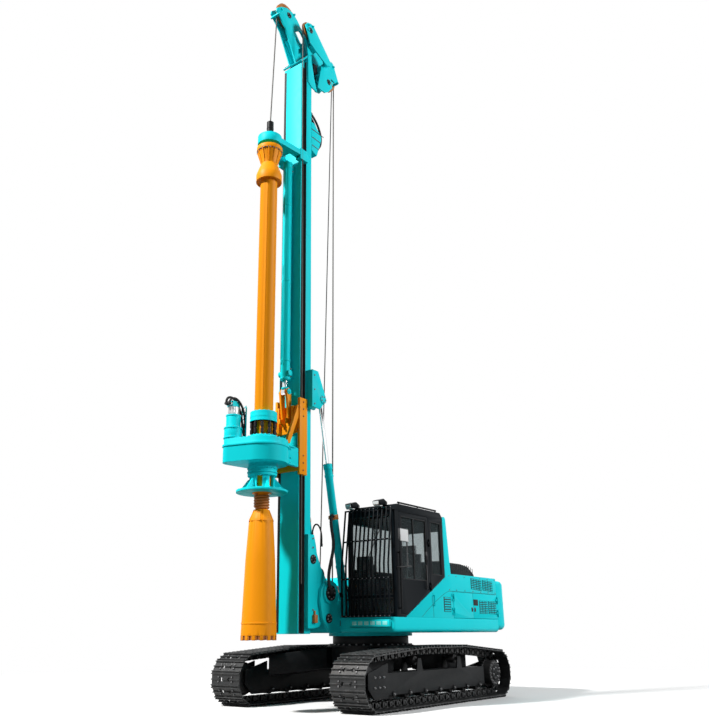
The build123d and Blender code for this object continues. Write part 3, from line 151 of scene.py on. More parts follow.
floor_half = 90
floor_mesh = bpy.data.meshes.new("studio_floor")
floor_mesh.from_pydata([(-floor_half, -floor_half, 0), (floor_half, -floor_half, 0),
                        (floor_half, floor_half, 0), (-floor_half, floor_half, 0)], [], [(0, 1, 2, 3)])
floor = bpy.data.objects.new("studio_floor", floor_mesh)
scene.collection.objects.link(floor)
floor_paint, tree, shader, output = shader_material("studio_floor")
shader.inputs["Roughness"].default_value = 0.9
spread = tree.nodes.new("ShaderNodeTexCoord")
reach = tree.nodes.new("ShaderNodeVectorMath")
reach.operation = "LENGTH"
fade = tree.nodes.new("ShaderNodeMapRange")
fade.inputs["From Min"].default_value = 5.5
fade.inputs["From Max"].default_value = 15
glow = tree.nodes.new("ShaderNodeEmission")
blend = tree.nodes.new("ShaderNodeMixShader")
wire(tree, (surround_level(tree, room_fill, 0.85), shader.inputs["Base Color"]),
     (surround_level(tree), glow.inputs["Strength"]),
     (spread.outputs["Object"], reach.inputs[0]),
     (reach.outputs["Value"], fade.inputs["Value"]),
     (fade.outputs[0], blend.inputs[0]),
     (shader.outputs[0], blend.inputs[1]),
     (glow.outputs[0], blend.inputs[2]),
     (blend.outputs[0], output.inputs["Surface"]))
floor_mesh.materials.append(floor_paint)

# ---- tracks ---------------------------------------------------------------------------------
# Each track is a chain of forged links with a pressed shoe on every link. A shoe has three low
# grousers, two mud slots and four bolts. The chain runs over an idler, two carriers and a
# sprocket, and its lower run lies flat on the ground.
site_dust = (0.26, 0.25, 0.23, 1)


def value_group(name, inputs, outputs):
    """A shader node group with float or colour sockets, as (name, kind, default)."""
    group = bpy.data.node_groups.new(name, "ShaderNodeTree")
    for label, kind, default in inputs:
        socket = group.interface.new_socket(label, in_out="INPUT", socket_type=kind)
        socket.default_value = default
    for label, kind in outputs:
        group.interface.new_socket(label, in_out="OUTPUT", socket_type=kind)
    return group, group.nodes.new("NodeGroupInput"), group.nodes.new("NodeGroupOutput")


def noise(group, scale, detail, source):
    """A noise value over the object's own coordinates."""
    texture = group.nodes.new("ShaderNodeTexNoise")
    texture.inputs["Scale"].default_value = scale
    texture.inputs["Detail"].default_value = detail
    group.links.new(source, texture.inputs["Vector"])
    return texture.outputs["Fac"]


def remap(group, source, low, high, to_low, to_high):
    """source between low and high, carried to between to_low and to_high, and clamped."""
    node = group.nodes.new("ShaderNodeMapRange")
    node.inputs["From Min"].default_value = low
    node.inputs["From Max"].default_value = high
    node.inputs["To Min"].default_value = to_low
    node.inputs["To Max"].default_value = to_high
    group.links.new(source, node.inputs["Value"])
    return node.outputs[0]


def product(group, first, second):
    """The product of two values."""
    node = group.nodes.new("ShaderNodeMath")
    node.operation = "MULTIPLY"
    group.links.new(first, node.inputs[0])
    group.links.new(second, node.inputs[1])
    return node.outputs[0]


def mixed(group, factor, first, second):
    """Two colours mixed by a factor. Each may be a socket or a plain colour."""
    node = group.nodes.new("ShaderNodeMix")
    node.data_type = "RGBA"
    group.links.new(factor, node.inputs["Factor"])
    for socket, value in ((node.inputs[6], first), (node.inputs[7], second)):
        if isinstance(value, tuple):
            socket.default_value = value
        else:
            group.links.new(value, socket)
    return node.outputs[2]


# Weathering shared by every hard surface: cloudy tone, dust that settles low down and on
# upward faces, rubbed corners, and a faint unevenness of the coat.
weather, given, result = value_group(
    "weathering",
    [("Coat", "NodeSocketColor", (0.5, 0.5, 0.5, 1)), ("Bare", "NodeSocketColor", (0.25, 0.24, 0.23, 1)),
     ("Dust", "NodeSocketFloat", 0.3), ("Rub", "NodeSocketFloat", 0.4),
     ("Gloss Break", "NodeSocketFloat", 0.1), ("Roughness", "NodeSocketFloat", 0.35),
     ("Relief", "NodeSocketFloat", 0.05)],
    [("Color", "NodeSocketColor"), ("Roughness", "NodeSocketFloat"), ("Normal", "NodeSocketVector")])
spot = weather.nodes.new("ShaderNodeTexCoord").outputs["Object"]
cloud = noise(weather, 1.3, 3, spot)
patch = noise(weather, 9, 5, spot)
grain = noise(weather, 140, 2, spot)
facing = weather.nodes.new("ShaderNodeNewGeometry")
split = weather.nodes.new("ShaderNodeSeparateXYZ")
height = weather.nodes.new("ShaderNodeSeparateXYZ")
wire(weather, (facing.outputs["Normal"], split.inputs[0]), (spot, height.inputs[0]))
low_down = remap(weather, height.outputs["Z"], 0.1, 1.5, 1, 0.12)
upward = remap(weather, split.outputs["Z"], 0.2, 1.0, 0.25, 1)
ragged = remap(weather, patch, 0.35, 0.7, 0, 1)
sheltered = product(weather, product(weather, low_down, upward), ragged)
settled = product(weather, sheltered, given.outputs["Dust"])
tone = remap(weather, cloud, 0.3, 0.7, 0.0, 0.16)
shaded = weather.nodes.new("ShaderNodeHueSaturation")
shaded.inputs["Value"].default_value = 0.8
weather.links.new(given.outputs["Coat"], shaded.inputs["Color"])
coat = mixed(weather, tone, given.outputs["Coat"], shaded.outputs["Color"])
round_edge = weather.nodes.new("ShaderNodeBevel")
round_edge.samples = 4
round_edge.inputs["Radius"].default_value = 0.006
edge_dot = weather.nodes.new("ShaderNodeVectorMath")
edge_dot.operation = "DOT_PRODUCT"
wire(weather, (round_edge.outputs[0], edge_dot.inputs[0]), (facing.outputs["Normal"], edge_dot.inputs[1]))
edge = remap(weather, edge_dot.outputs["Value"], 0.97, 0.86, 0, 1)
worn = product(weather, edge, remap(weather, patch, 0.52, 0.62, 0, 1))
rubbed = product(weather, worn, given.outputs["Rub"])
coat = mixed(weather, rubbed, coat, given.outputs["Bare"])
coat = mixed(weather, settled, coat, site_dust)
duller = weather.nodes.new("ShaderNodeMath")
duller.operation = "MULTIPLY_ADD"
dusty = weather.nodes.new("ShaderNodeMath")
dusty.operation = "MULTIPLY_ADD"
dusty.use_clamp = True
dusty.inputs[1].default_value = 0.5
uneven = weather.nodes.new("ShaderNodeBump")
uneven.inputs["Distance"].default_value = 0.004
wire(weather, (coat, result.inputs["Color"]),
     (patch, duller.inputs[0]), (given.outputs["Gloss Break"], duller.inputs[1]),
     (given.outputs["Roughness"], duller.inputs[2]),
     (settled, dusty.inputs[0]), (duller.outputs[0], dusty.inputs[2]),
     (dusty.outputs[0], result.inputs["Roughness"]),
     (given.outputs["Relief"], uneven.inputs["Strength"]), (grain, uneven.inputs["Height"]),
     (round_edge.outputs[0], uneven.inputs["Normal"]), (uneven.outputs[0], result.inputs["Normal"]))


def weathered(name, colour, metallic=0.0, coat_weight=0.0, specular=0.5, **levels):
    """A hard material whose colour, roughness and normal come through the weathering group."""
    material, tree, shader, output = shader_material(name)
    group = tree.nodes.new("ShaderNodeGroup")
    group.node_tree = weather
    group.inputs["Coat"].default_value = (*colour, 1)
    for label, value in levels.items():
        socket = group.inputs[label.replace("_", " ")]
        socket.default_value = (*value, 1) if isinstance(value, tuple) else value
    for label, socket in (("Color", "Base Color"), ("Roughness", "Roughness"), ("Normal", "Normal")):
        tree.links.new(group.outputs[label], shader.inputs[socket])
    shader.inputs["Metallic"].default_value = metallic
    shader.inputs["Coat Weight"].default_value = coat_weight
    shader.inputs["Coat Roughness"].default_value = 0.12
    shader.inputs["Specular IOR Level"].default_value = specular
    return material


track_steel = weathered("track_steel", (0.014, 0.015, 0.016), specular=0.4, Dust=0.04, Rub=0.8,
                        Roughness=0.34, Relief=0.25, Bare=(0.16, 0.16, 0.16))
bolt_steel = weathered("bolt_steel", (0.14, 0.14, 0.145), metallic=0.7, Dust=0.2, Rub=0.3, Roughness=0.38)


def at(x, y, z):
    """A point counted from the slewing axis."""
    return Vector((slew_x + x, y, z))


def shown(name, mesh, material, body, crease=32):
    """A mesh as a piece of one body, smooth but for its edges sharper than crease."""
    mesh.materials.clear()
    mesh.materials.append(material)
    mesh.shade_smooth()
    mesh.set_sharp_from_angle(angle=radians(crease))
    piece = bpy.data.objects.new(name, mesh)
    scene.collection.objects.link(piece)
    if body:
        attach(piece, body)
    return piece


def evaluated(name, source):
    """The mesh of an object with its modifiers worked out. The object is then removed."""
    bpy.context.view_layer.update()
    seen_now = source.evaluated_get(bpy.context.evaluated_depsgraph_get())
    mesh = bpy.data.meshes.new_from_object(seen_now)
    mesh.name = name
    bpy.data.objects.remove(source)
    return mesh


def eased(name, mesh, width, segments=2, crease=30):
    """The mesh with its sharp edges bevelled."""
    rough = bpy.data.objects.new(name, mesh)
    scene.collection.objects.link(rough)
    bevel = rough.modifiers.new("edges", "BEVEL")
    bevel.width = width
    bevel.segments = segments
    bevel.limit_method = "ANGLE"
    bevel.angle_limit = radians(crease)
    bevel.use_clamp_overlap = True
    return evaluated(name, rough)


def add_box(shape, low, high):
    """Adds a box between two corners to a bmesh."""
    centre = [(a + b) / 2 for a, b in zip(low, high)]
    size = [abs(b - a) for a, b in zip(low, high)]
    place = Matrix.Translation(centre) @ Matrix.Diagonal((*size, 1))
    bmesh.ops.create_cube(shape, size=1, matrix=place)


def add_bar(shape, start, end, radius, sides=20, end_radius=None):
    """Adds a round bar, or a cone with end_radius, between two points to a bmesh."""
    start, end = Vector(start), Vector(end)
    way = end - start
    place = Matrix.Translation((start + end) / 2) @ way.to_track_quat("Z", "Y").to_matrix().to_4x4()
    end_radius = radius if end_radius is None else end_radius
    bmesh.ops.create_cone(shape, cap_ends=True, segments=sides, radius1=radius, radius2=end_radius,
                          depth=way.length, matrix=place)


def as_mesh(name, shape):
    """A bmesh as a mesh. The bmesh is freed."""
    mesh = bpy.data.meshes.new(name)
    bmesh.ops.recalc_face_normals(shape, faces=shape.faces)
    shape.to_mesh(mesh)
    shape.free()
    return mesh


def hull_line(circles, steps):
    """The convex loop round some circles (a, b, radius), as closely spaced points."""
    cloud_points = set()
    for a, b, radius in circles:
        for number in range(steps):
            turn = 2 * pi * number / steps
            cloud_points.add((round(a + radius * cos(turn), 6), round(b + radius * sin(turn), 6)))

    def half_hull(ordered):
        chain = []
        for point in ordered:
            while len(chain) > 1 and ((chain[-1][0] - chain[-2][0]) * (point[1] - chain[-2][1])
                                      - (chain[-1][1] - chain[-2][1]) * (point[0] - chain[-2][0])) <= 0:
                chain.pop()
            chain.append(point)
        return chain[:-1]

    cloud_points = sorted(cloud_points)
    return half_hull(cloud_points) + half_hull(cloud_points[::-1])


# The tree that repeats one piece: it stands on every seed point, its Z along "facing" and its
# X along "along", and is joined into one mesh of one material.
repeat_tree = bpy.data.node_groups.new("repeat_piece", "GeometryNodeTree")
for label, direction, kind in (("Seeds", "INPUT", "Geometry"), ("Piece", "INPUT", "Object"),
                               ("Finish", "INPUT", "Material"), ("Joined", "OUTPUT", "Geometry")):
    repeat_tree.interface.new_socket(label, in_out=direction, socket_type="NodeSocket" + kind)
seeds_in = repeat_tree.nodes.new("NodeGroupInput")
joined_out = repeat_tree.nodes.new("NodeGroupOutput")
source_piece = repeat_tree.nodes.new("GeometryNodeObjectInfo")
stand = repeat_tree.nodes.new("GeometryNodeInstanceOnPoints")
realize = repeat_tree.nodes.new("GeometryNodeRealizeInstances")
finish_node = repeat_tree.nodes.new("GeometryNodeSetMaterial")
turn_to = None
for attribute, axis in (("facing", "Z"), ("along", "X")):
    wanted = repeat_tree.nodes.new("GeometryNodeInputNamedAttribute")
    wanted.data_type = "FLOAT_VECTOR"
    wanted.inputs["Name"].default_value = attribute
    align = repeat_tree.nodes.new("FunctionNodeAlignRotationToVector")
    align.axis = axis
    align.pivot_axis = "AUTO" if turn_to is None else "Z"
    repeat_tree.links.new(wanted.outputs["Attribute"], align.inputs["Vector"])
    if turn_to is not None:
        repeat_tree.links.new(turn_to.outputs["Rotation"], align.inputs["Rotation"])
    turn_to = align
wire(repeat_tree, (seeds_in.outputs["Seeds"], stand.inputs["Points"]),
     (seeds_in.outputs["Piece"], source_piece.inputs["Object"]),
     (source_piece.outputs["Geometry"], stand.inputs["Instance"]),
     (turn_to.outputs["Rotation"], stand.inputs["Rotation"]),
     (stand.outputs["Instances"], realize.inputs["Geometry"]),
     (realize.outputs["Geometry"], finish_node.inputs["Geometry"]),
     (seeds_in.outputs["Finish"], finish_node.inputs["Material"]),
     (finish_node.outputs["Geometry"], joined_out.inputs["Joined"]))
repeat_sockets = {item.name: item.identifier for item in repeat_tree.interface.items_tree}


def repeated(name, unit, seeds, material, body):
    """The unit mesh on every seed, a (place, facing, along), as one piece of a body."""
    points = bpy.data.meshes.new(name + "_seeds")
    points.from_pydata([tuple(seed[0]) for seed in seeds], [], [])
    for label, column in (("facing", 1), ("along", 2)):
        field = points.attributes.new(label, "FLOAT_VECTOR", "POINT")
        for number, seed in enumerate(seeds):
            field.data[number].vector = Vector(seed[column])
    carrier = bpy.data.objects.new(name + "_seeds", points)
    scene.collection.objects.link(carrier)
    sample = bpy.data.objects.new(name + "_unit", unit)
    scene.collection.objects.link(sample)
    grow = carrier.modifiers.new("repeat", "NODES")
    grow.node_group = repeat_tree
    grow[repeat_sockets["Piece"]] = sample
    grow[repeat_sockets["Finish"]] = material
    mesh = evaluated(name, carrier)
    bpy.data.objects.remove(sample)
    return shown(name, mesh, material, body)


def bolt_mesh(size, washer=True):
    """A hexagon bolt head on a washer, size across its flats, standing on Z."""
    shape = bmesh.new()
    if washer:
        add_bar(shape, (0, 0, -0.001), (0, 0, size * 0.12), size * 0.72, 16)
    add_bar(shape, (0, 0, 0), (0, 0, size * 0.62), size * 0.577, 6)
    add_bar(shape, (0, 0, size * 0.62), (0, 0, size * 0.72), size * 0.5, 6, end_radius=size * 0.38)
    return as_mesh("bolt", shape)


track_low, track_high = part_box("track_left")
track_mid = (track_low[1] + track_high[1]) / 2
track_radius = 0.400
carrier_top = 0.890
carrier_round = 0.200
carrier_z = carrier_top - carrier_round
sprocket_x = -1.937
track_rounds = [(1.956, track_radius, track_radius), (0.600, carrier_z, carrier_round),
                (-0.680, carrier_z, carrier_round), (sprocket_x, track_radius, track_radius)]
grouser = 0.026
plate_thick = 0.014
plate_inset = grouser + plate_thick
shoe_count = 54
shoe_half_width = 0.302


def spaced(points, count):
    """count evenly spaced (place, direction) along a closed line of 2-D points."""
    closed = [Vector(point) for point in points] + [Vector(points[0])]
    lengths = [(b - a).length for a, b in zip(closed, closed[1:])]
    step = sum(lengths) / count
    found = []
    run = 0.0
    number = 0
    for start, end, length in zip(closed, closed[1:], lengths):
        while number < count and number * step <= run + length + 1e-9:
            share = (number * step - run) / length
            found.append((start.lerp(end, share), (end - start).normalized()))
            number += 1
        run += length
    return found, step


track_line = hull_line([(x, z, radius - plate_inset) for x, z, radius in track_rounds], 240)
stations, pitch = spaced(track_line, shoe_count)
shoe_half = (pitch - 0.004) / 2
lip = 0.018

shoe_shape = bmesh.new()
slot_bands = [(-shoe_half_width, -0.100), (-0.055, 0.055), (0.100, shoe_half_width)]
for low, high in slot_bands:
    add_box(shoe_shape, (-shoe_half, low, 0), (shoe_half, high, plate_thick))
for low, high in ((-0.101, -0.054), (0.054, 0.101)):
    for inner, outer in ((-shoe_half, -0.026), (0.026, shoe_half)):
        add_box(shoe_shape, (inner, low, 0), (outer, high, plate_thick))
for start, end, low in ((-shoe_half - lip, -shoe_half + 0.006, -0.004),
                        (shoe_half - 0.006, shoe_half + lip, 0.004)):
    add_box(shoe_shape, (start, -shoe_half_width, low), (end, shoe_half_width, low + plate_thick))
for middle in (-shoe_half + 0.008, 0, shoe_half - 0.008):
    for low, high in (slot_bands if middle == 0 else [(-shoe_half_width, shoe_half_width)]):
        add_box(shoe_shape, (middle - 0.008, low, plate_thick - 0.002), (middle + 0.008, high, plate_inset))
shoe = eased("shoe", as_mesh("shoe", shoe_shape), 0.003, 1)

pin_depth = 0.052
link_shape = bmesh.new()
for hand in (1, -1):
    for low, high in ((0.060, 0.086), (0.034, 0.058)):
        ahead = low > 0.05
        middle = pitch / 2 * (0.42 if ahead else -0.42)
        add_box(link_shape, (middle - 0.062, hand * low, -0.096), (middle + 0.062, hand * high, 0.001))
        for x in (middle - 0.05, middle + 0.05):
            add_bar(link_shape, (x, hand * low, -pin_depth), (x, hand * high, -pin_depth), 0.046, 14)
add_bar(link_shape, (pitch / 2, -0.094, -pin_depth), (pitch / 2, 0.094, -pin_depth), 0.022, 12)
link = as_mesh("link", link_shape)

shoe_bolt = bolt_mesh(0.026, washer=False)
for hand, side_name in ((1, "left"), (-1, "right")):
    middle = hand * track_mid
    seats = []
    bolts = []
    for place, way in stations:
        along_way = Vector((way.x, 0, way.y))
        out = Vector((way.y, 0, -way.x))
        centre = at(place.x, middle, place.y)
        seats.append((centre, out, along_way))
        for step_x in (-0.034, 0.034):
            for step_y in (-0.145, 0.145):
                spot_at = centre + along_way * step_x + Vector((0, step_y, 0)) + out * (plate_thick - 0.001)
                bolts.append((spot_at, out, along_way))
    belt = repeated(f"track_shoes_{side_name}", shoe, seats, track_steel, "undercarriage")
    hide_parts(f"track_{side_name}")
    repeated(f"track_links_{side_name}", link, seats, track_steel, "undercarriage")
    repeated(f"shoe_bolts_{side_name}", shoe_bolt, bolts, bolt_steel, "undercarriage")

# ---- undercarriage --------------------------------------------------------------------------
# Rollers, idlers and sprockets are bare castings inside the loops. The frames over them are
# black box sections, and a round final-drive cover with a ring of bolts closes each sprocket.
def add_disc(shape, face, hand, back, out, radius, sides=32):
    """Adds a round cap across Y, from back inside a face to out beyond it, on the side of hand."""
    add_bar(shape, face - Vector((0, hand * back, 0)), face + Vector((0, hand * out, 0)), radius, sides)


def built(name, shape, material, body, width=0.0, segments=2, crease=30):
    """A bmesh as a piece of one body, its edges bevelled where a width is given."""
    mesh = as_mesh(name, shape)
    if width:
        mesh = eased(name, mesh, width, segments, crease)
    return shown(name, mesh, material, body)


def ring_seeds(centre, axis, radius, count, start=0.0):
    """Seeds on a circle round an axis, all facing along it."""
    axis = Vector(axis).normalized()
    side_way = axis.orthogonal().normalized()
    cross = axis.cross(side_way)
    seeds = []
    for number in range(count):
        turn = start + 2 * pi * number / count
        out = side_way * cos(turn) + cross * sin(turn)
        seeds.append((Vector(centre) + out * radius, axis, out))
    return seeds


def rounded(node, width, material, body, segments=2, name=None, cutters=()):
    """A CAD node's own shape with its edges bevelled, in its place. Cutters are taken away."""
    shape = bmesh.new()
    shape.from_mesh(nodes_of[node].data)
    bmesh.ops.remove_doubles(shape, verts=shape.verts, dist=0.00005)
    bmesh.ops.dissolve_limit(shape, angle_limit=radians(0.7), verts=shape.verts, edges=shape.edges)
    mesh = as_mesh(node, shape)
    if cutters:
        rough = bpy.data.objects.new(node, mesh)
        scene.collection.objects.link(rough)
        knives = []
        for number, cutter in enumerate(cutters):
            knife = bpy.data.objects.new(f"knife_{number}", cutter)
            scene.collection.objects.link(knife)
            cut = rough.modifiers.new("cut", "BOOLEAN")
            cut.operation = "DIFFERENCE"
            cut.solver = "EXACT"
            cut.object = knife
            knives.append(knife)
        mesh = evaluated(node, rough)
        for knife in knives:
            bpy.data.objects.remove(knife)
    if width:
        mesh = eased(node, mesh, width, segments)
    piece = shown(name or node + "_shell", mesh, material, body)
    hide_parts(node)
    return piece


nodes_of = frame["nodes"]
black = weathered("black_enamel", (0.005, 0.006, 0.007), specular=0.1, Dust=0.12, Rub=0.25, Roughness=0.42)
cast_steel = weathered("cast_steel", (0.012, 0.012, 0.013), specular=0.25, Dust=0.1, Rub=0.5, Roughness=0.5,
                       Relief=0.3)

for node, width, finish in (
        ("track_rollers", 0.006, cast_steel), ("front_idlers", 0.008, cast_steel),
        ("drive_sprockets", 0.005, cast_steel), ("track_frame_left", 0.006, black),
        ("track_frame_right", 0.006, black), ("car_body", 0.008, black), ("frame_legs", 0.012, black),
        ("slewing_bearing", 0.004, black)):
    rounded(node, width, finish, "undercarriage")

roller_z, roller_pitch = 0.226, 0.45667
frame_inner, frame_outer = 1.033, 1.333
frame_bolt = bolt_mesh(0.026)
cover_seeds = []
hub_shape = bmesh.new()
for hand in (1, -1):
    drive_face = at(sprocket_x, hand * 1.358, track_radius)
    cover_seeds += ring_seeds(drive_face, (0, hand, 0), 0.178, 16)
    cover_seeds += ring_seeds(drive_face + Vector((0, hand * 0.012, 0)), (0, hand, 0), 0.085, 6)
    add_disc(hub_shape, drive_face, hand, 0.01, 0.012, 0.125, 40)
    add_disc(hub_shape, drive_face, hand, 0, 0.022, 0.035, 24)
    for x in (1.370 - roller_pitch * number for number in range(7)):
        for y, out in ((hand * frame_outer, hand), (hand * frame_inner, -hand)):
            add_bar(hub_shape, at(x, y - hand * 0.004, roller_z), at(x, y + out * 0.014, roller_z), 0.040, 20)
            cover_seeds.append((at(x, y + out * 0.014, roller_z), (0, out, 0), (1, 0, 0)))
    for x in (1.62, 1.74, 1.86):
        for z in (0.33, 0.47):
            cover_seeds.append((at(x, hand * frame_outer, z), (0, hand, 0), (1, 0, 0)))
built("final_drive_hubs", hub_shape, black, "undercarriage", 0.004)
repeated("frame_bolts", frame_bolt, cover_seeds, bolt_steel, "undercarriage")
slew_seeds = ring_seeds(at(0, 0, carrier_top), (0, 0, 1), 0.700, 36)
repeated("slew_ring_bolts", bolt_mesh(0.030), slew_seeds, bolt_steel, "undercarriage")

# ---- turntable ------------------------------------------------------------------------------
# The deck and its two mast support plates are one weldment. A step with six oblong slots hangs
# under the cab's front, its slots in a paler colour as painted light. A square port, drawn as
# painted shade, opens beside it, and bolted caps close the mast's pin.
def smooth_material(name, colour, roughness, metallic=0.0, **more):
    """A clean material with constant values."""
    material, tree, shader, output = shader_material(name)
    shader.inputs["Base Color"].default_value = (*colour, 1)
    shader.inputs["Roughness"].default_value = roughness
    shader.inputs["Metallic"].default_value = metallic
    for label, value in more.items():
        shader.inputs[label.replace("_", " ")].default_value = value
    return material


cyan = weathered("cyan_enamel", (0.002, 0.66, 0.72), specular=0.1, Dust=0.07, Rub=0.2, Roughness=0.44,
                 Bare=(0.10, 0.22, 0.23))
# A flat near-black: painted shade behind the louvres, in the rail grooves, the deck port and the rear door's
# pull, and the dark of the panel seams.
gloom = smooth_material("vent_shadow", (0.004, 0.004, 0.005), 0.9)
# Painted light: the step's slots take this paler colour than the enamel round them.
slot_painted_light = smooth_material("slot_painted_light", (0.22, 0.72, 0.70), 0.45)

rounded("turntable", 0.006, cyan, "house", 3)

cap_shape = bmesh.new()
boss_shape = bmesh.new()
cap_seeds = []
hinge_at = pins["mast_tilt"]
foot_at = pins["tilt_barrel_swing"]
for hand in (1, -1):
    hub = Vector((hinge_at.x, hand * 0.364, hinge_at.z))
    add_disc(cap_shape, hub, hand, 0.004, 0.020, 0.118, 48)
    add_disc(cap_shape, hub, hand, 0, 0.030, 0.050)
    cap_seeds += ring_seeds(hub + Vector((0, hand * 0.020, 0)), (0, hand, 0), 0.088, 8)
    for x, z, radius in ((1.640, 1.300, 0.070), (1.280, 1.240, 0.050)):
        centre = at(x, hand * 0.338, z)
        add_disc(cap_shape, centre, hand, 0.004, 0.022, radius)
        cap_seeds += ring_seeds(centre + Vector((0, hand * 0.022, 0)), (0, hand, 0), radius * 0.68, 6)
    pin_face = Vector((foot_at.x, hand * 0.395, foot_at.z))
    add_disc(boss_shape, pin_face, hand, 0.004, 0.012, 0.052)
    cap_seeds += ring_seeds(pin_face + Vector((0, hand * 0.012, 0)), (0, hand, 0), 0.030, 4)
built("hinge_caps", cap_shape, black, "house", 0.003)
built("tilt_foot_caps", boss_shape, cyan, "house", 0.003)
repeated("hinge_cap_bolts", bolt_mesh(0.020), cap_seeds, bolt_steel, "house")

slot_shape = bmesh.new()
step_shape = bmesh.new()
deck_face = 1.340
for number in range(6):
    y = 0.64 + 0.115 * number
    add_box(slot_shape, at(deck_face + 0.036, y - 0.042, 1.196), at(deck_face + 0.039, y + 0.042, 1.250))
add_box(step_shape, at(deck_face - 0.004, 0.560, 1.160), at(deck_face + 0.036, 1.300, 1.176))
add_box(step_shape, at(deck_face + 0.020, 0.560, 1.160), at(deck_face + 0.036, 1.300, 1.275))
for y in (0.560, 1.288):
    add_box(step_shape, at(deck_face - 0.004, y, 1.160), at(deck_face + 0.034, y + 0.012, 1.275))
built("cab_step", step_shape, cyan, "house", 0.003)
# The slots are painted light, paler than the step's enamel.
built("step_slots", slot_shape, slot_painted_light, "house", 0.010, 3, 80)
# The square port is a flat near-black sheet: painted shade in the opening.
port_shape = bmesh.new()
add_box(port_shape, at(deck_face - 0.002, 0.270, 1.190), at(deck_face + 0.002, 0.350, 1.270))
built("deck_port", port_shape, gloom, "house")

# ---- house panels ---------------------------------------------------------------------------
# Sheet panels and doors close the engine bay. Their vents are pressed louvres behind framed
# grilles, with painted shade behind the slats. Black latches and hinge lugs stand on the sheet,
# the rear door's pull is drawn as painted shade, and seams run between.
def lathe(name, profile, sides=64):
    """A turned mesh about Z from a profile of (radius, height)."""
    shape = bmesh.new()
    ring = [shape.verts.new((radius, 0, height)) for radius, height in profile]
    edges = [shape.edges.new(pair) for pair in zip(ring, ring[1:])]
    bmesh.ops.spin(shape, geom=ring + edges, cent=(0, 0, 0), axis=(0, 0, 1), angle=2 * pi, steps=sides,
                   use_merge=True, use_duplicate=False)
    bmesh.ops.remove_doubles(shape, verts=shape.verts, dist=0.00002)
    return as_mesh(name, shape)


plastic = weathered("moulded_plastic", (0.016, 0.016, 0.018), specular=0.4, Dust=0.1, Rub=0.0, Roughness=0.5,
                    Relief=0.3)

for node in ("left_side_panel", "right_side_panel", "left_front_service_door", "left_rear_service_door",
             "right_service_door", "engine_hood", "hood_hinge", "right_tanks"):
    body = {"left_front_service_door": "front_side_door", "left_rear_service_door": "rear_side_door",
            "right_service_door": "right_side_door", "engine_hood": "hood"}.get(node, "house")
    rounded(node, 0.004, cyan, body, 2)
rounded("door_hinges", 0.0, cyan, "house")
rounded("counterweight", 0.010, cyan, "house", 3)
rounded("exhaust_cover", 0.030, black, "hood", 4)
rounded("engine", 0.020, cast_steel, "house")

slat_shape = bmesh.new()
slat_profile = [(0.0, -0.007), (0.007, -0.006), (0.010, 0.0), (0.004, 0.007), (0.0, 0.007)]
for start, end in zip(slat_profile, slat_profile[1:]):
    corners = [slat_shape.verts.new((x, start[1], start[0])) for x in (-0.5, 0.5)]
    corners += [slat_shape.verts.new((x, end[1], end[0])) for x in (0.5, -0.5)]
    slat_shape.faces.new(corners)
slat_long = as_mesh("slat", slat_shape)


def grille(name, x0, x1, z0, z1, rows, cells, side_y, body, slope=0.0):
    """Louvres on a side sheet: a near-black sheet of painted shade behind them, and slats in cells."""
    hand = 1 if side_y > 0 else -1
    # Painted shade: a near-black sheet for the shade in the recess behind the louvres.
    louvre_shade = bmesh.new()
    add_box(louvre_shade, at(x0, side_y - 0.001, z0), at(x1, side_y + hand * 0.0015, z1))
    for vert in louvre_shade.verts:
        vert.co.z += slope * (vert.co.x - slew_x - x0)
    built(name + "_backing", louvre_shade, gloom, body)
    seeds = []
    cell = (x1 - x0) / cells
    for number in range(cells):
        for row in range(rows):
            x = x0 + cell * (number + 0.5)
            z = z0 + (z1 - z0) * (row + 0.5) / rows + slope * (x - x0)
            seeds.append((at(x, side_y + hand * 0.001, z), (0, hand, 0), (hand, 0, slope * hand)))
    unit = slat_long.copy()
    unit.transform(Matrix.Diagonal((cell * 0.86, (z1 - z0) / rows / 0.022, 0.8, 1)))
    repeated(name + "_slats", unit, seeds, cyan, body)


side_face = 1.350
grille("upper_grille_front", -1.65, -1.24, 1.795, 1.985, 6, 4, side_face, "house", 0.045)
grille("upper_grille_rear", -2.10, -1.69, 1.790, 1.975, 6, 4, side_face, "house", 0.045)
grille("lower_grille_front", -1.85, -1.52, 1.400, 1.625, 7, 3, side_face, "rear_side_door")
grille("lower_grille_rear", -2.20, -1.88, 1.400, 1.625, 7, 3, side_face, "rear_side_door")
grille("cab_vent", -0.47, -0.23, 1.410, 1.650, 6, 1, side_face, "house")
grille("right_grille_front", -1.45, -0.95, 1.420, 1.660, 7, 3, -side_face, "right_side_door")
grille("right_grille_rear", -2.10, -1.60, 1.420, 1.660, 7, 3, -side_face, "right_side_door")

# The rear door's pull is a thin near-black box of painted shade, for the shade in its grip.
latch_shape = bmesh.new()
add_box(latch_shape, at(-1.470, side_face - 0.001, 1.535), at(-1.295, side_face + 0.004, 1.640))
built("rear_door_pull", latch_shape, gloom, "rear_side_door", 0.004)
for name, x, body in (("front_door_latch", -1.235, "front_side_door"),
                      ("rear_door_latch", -1.340, "rear_side_door")):
    latch = bmesh.new()
    add_box(latch, at(x - 0.022, side_face - 0.001, 1.430), at(x + 0.022, side_face + 0.010, 1.500))
    add_bar(latch, at(x, side_face, 1.465), at(x, side_face + 0.016, 1.465), 0.012, 20)
    built(name, latch, plastic, body, 0.003)

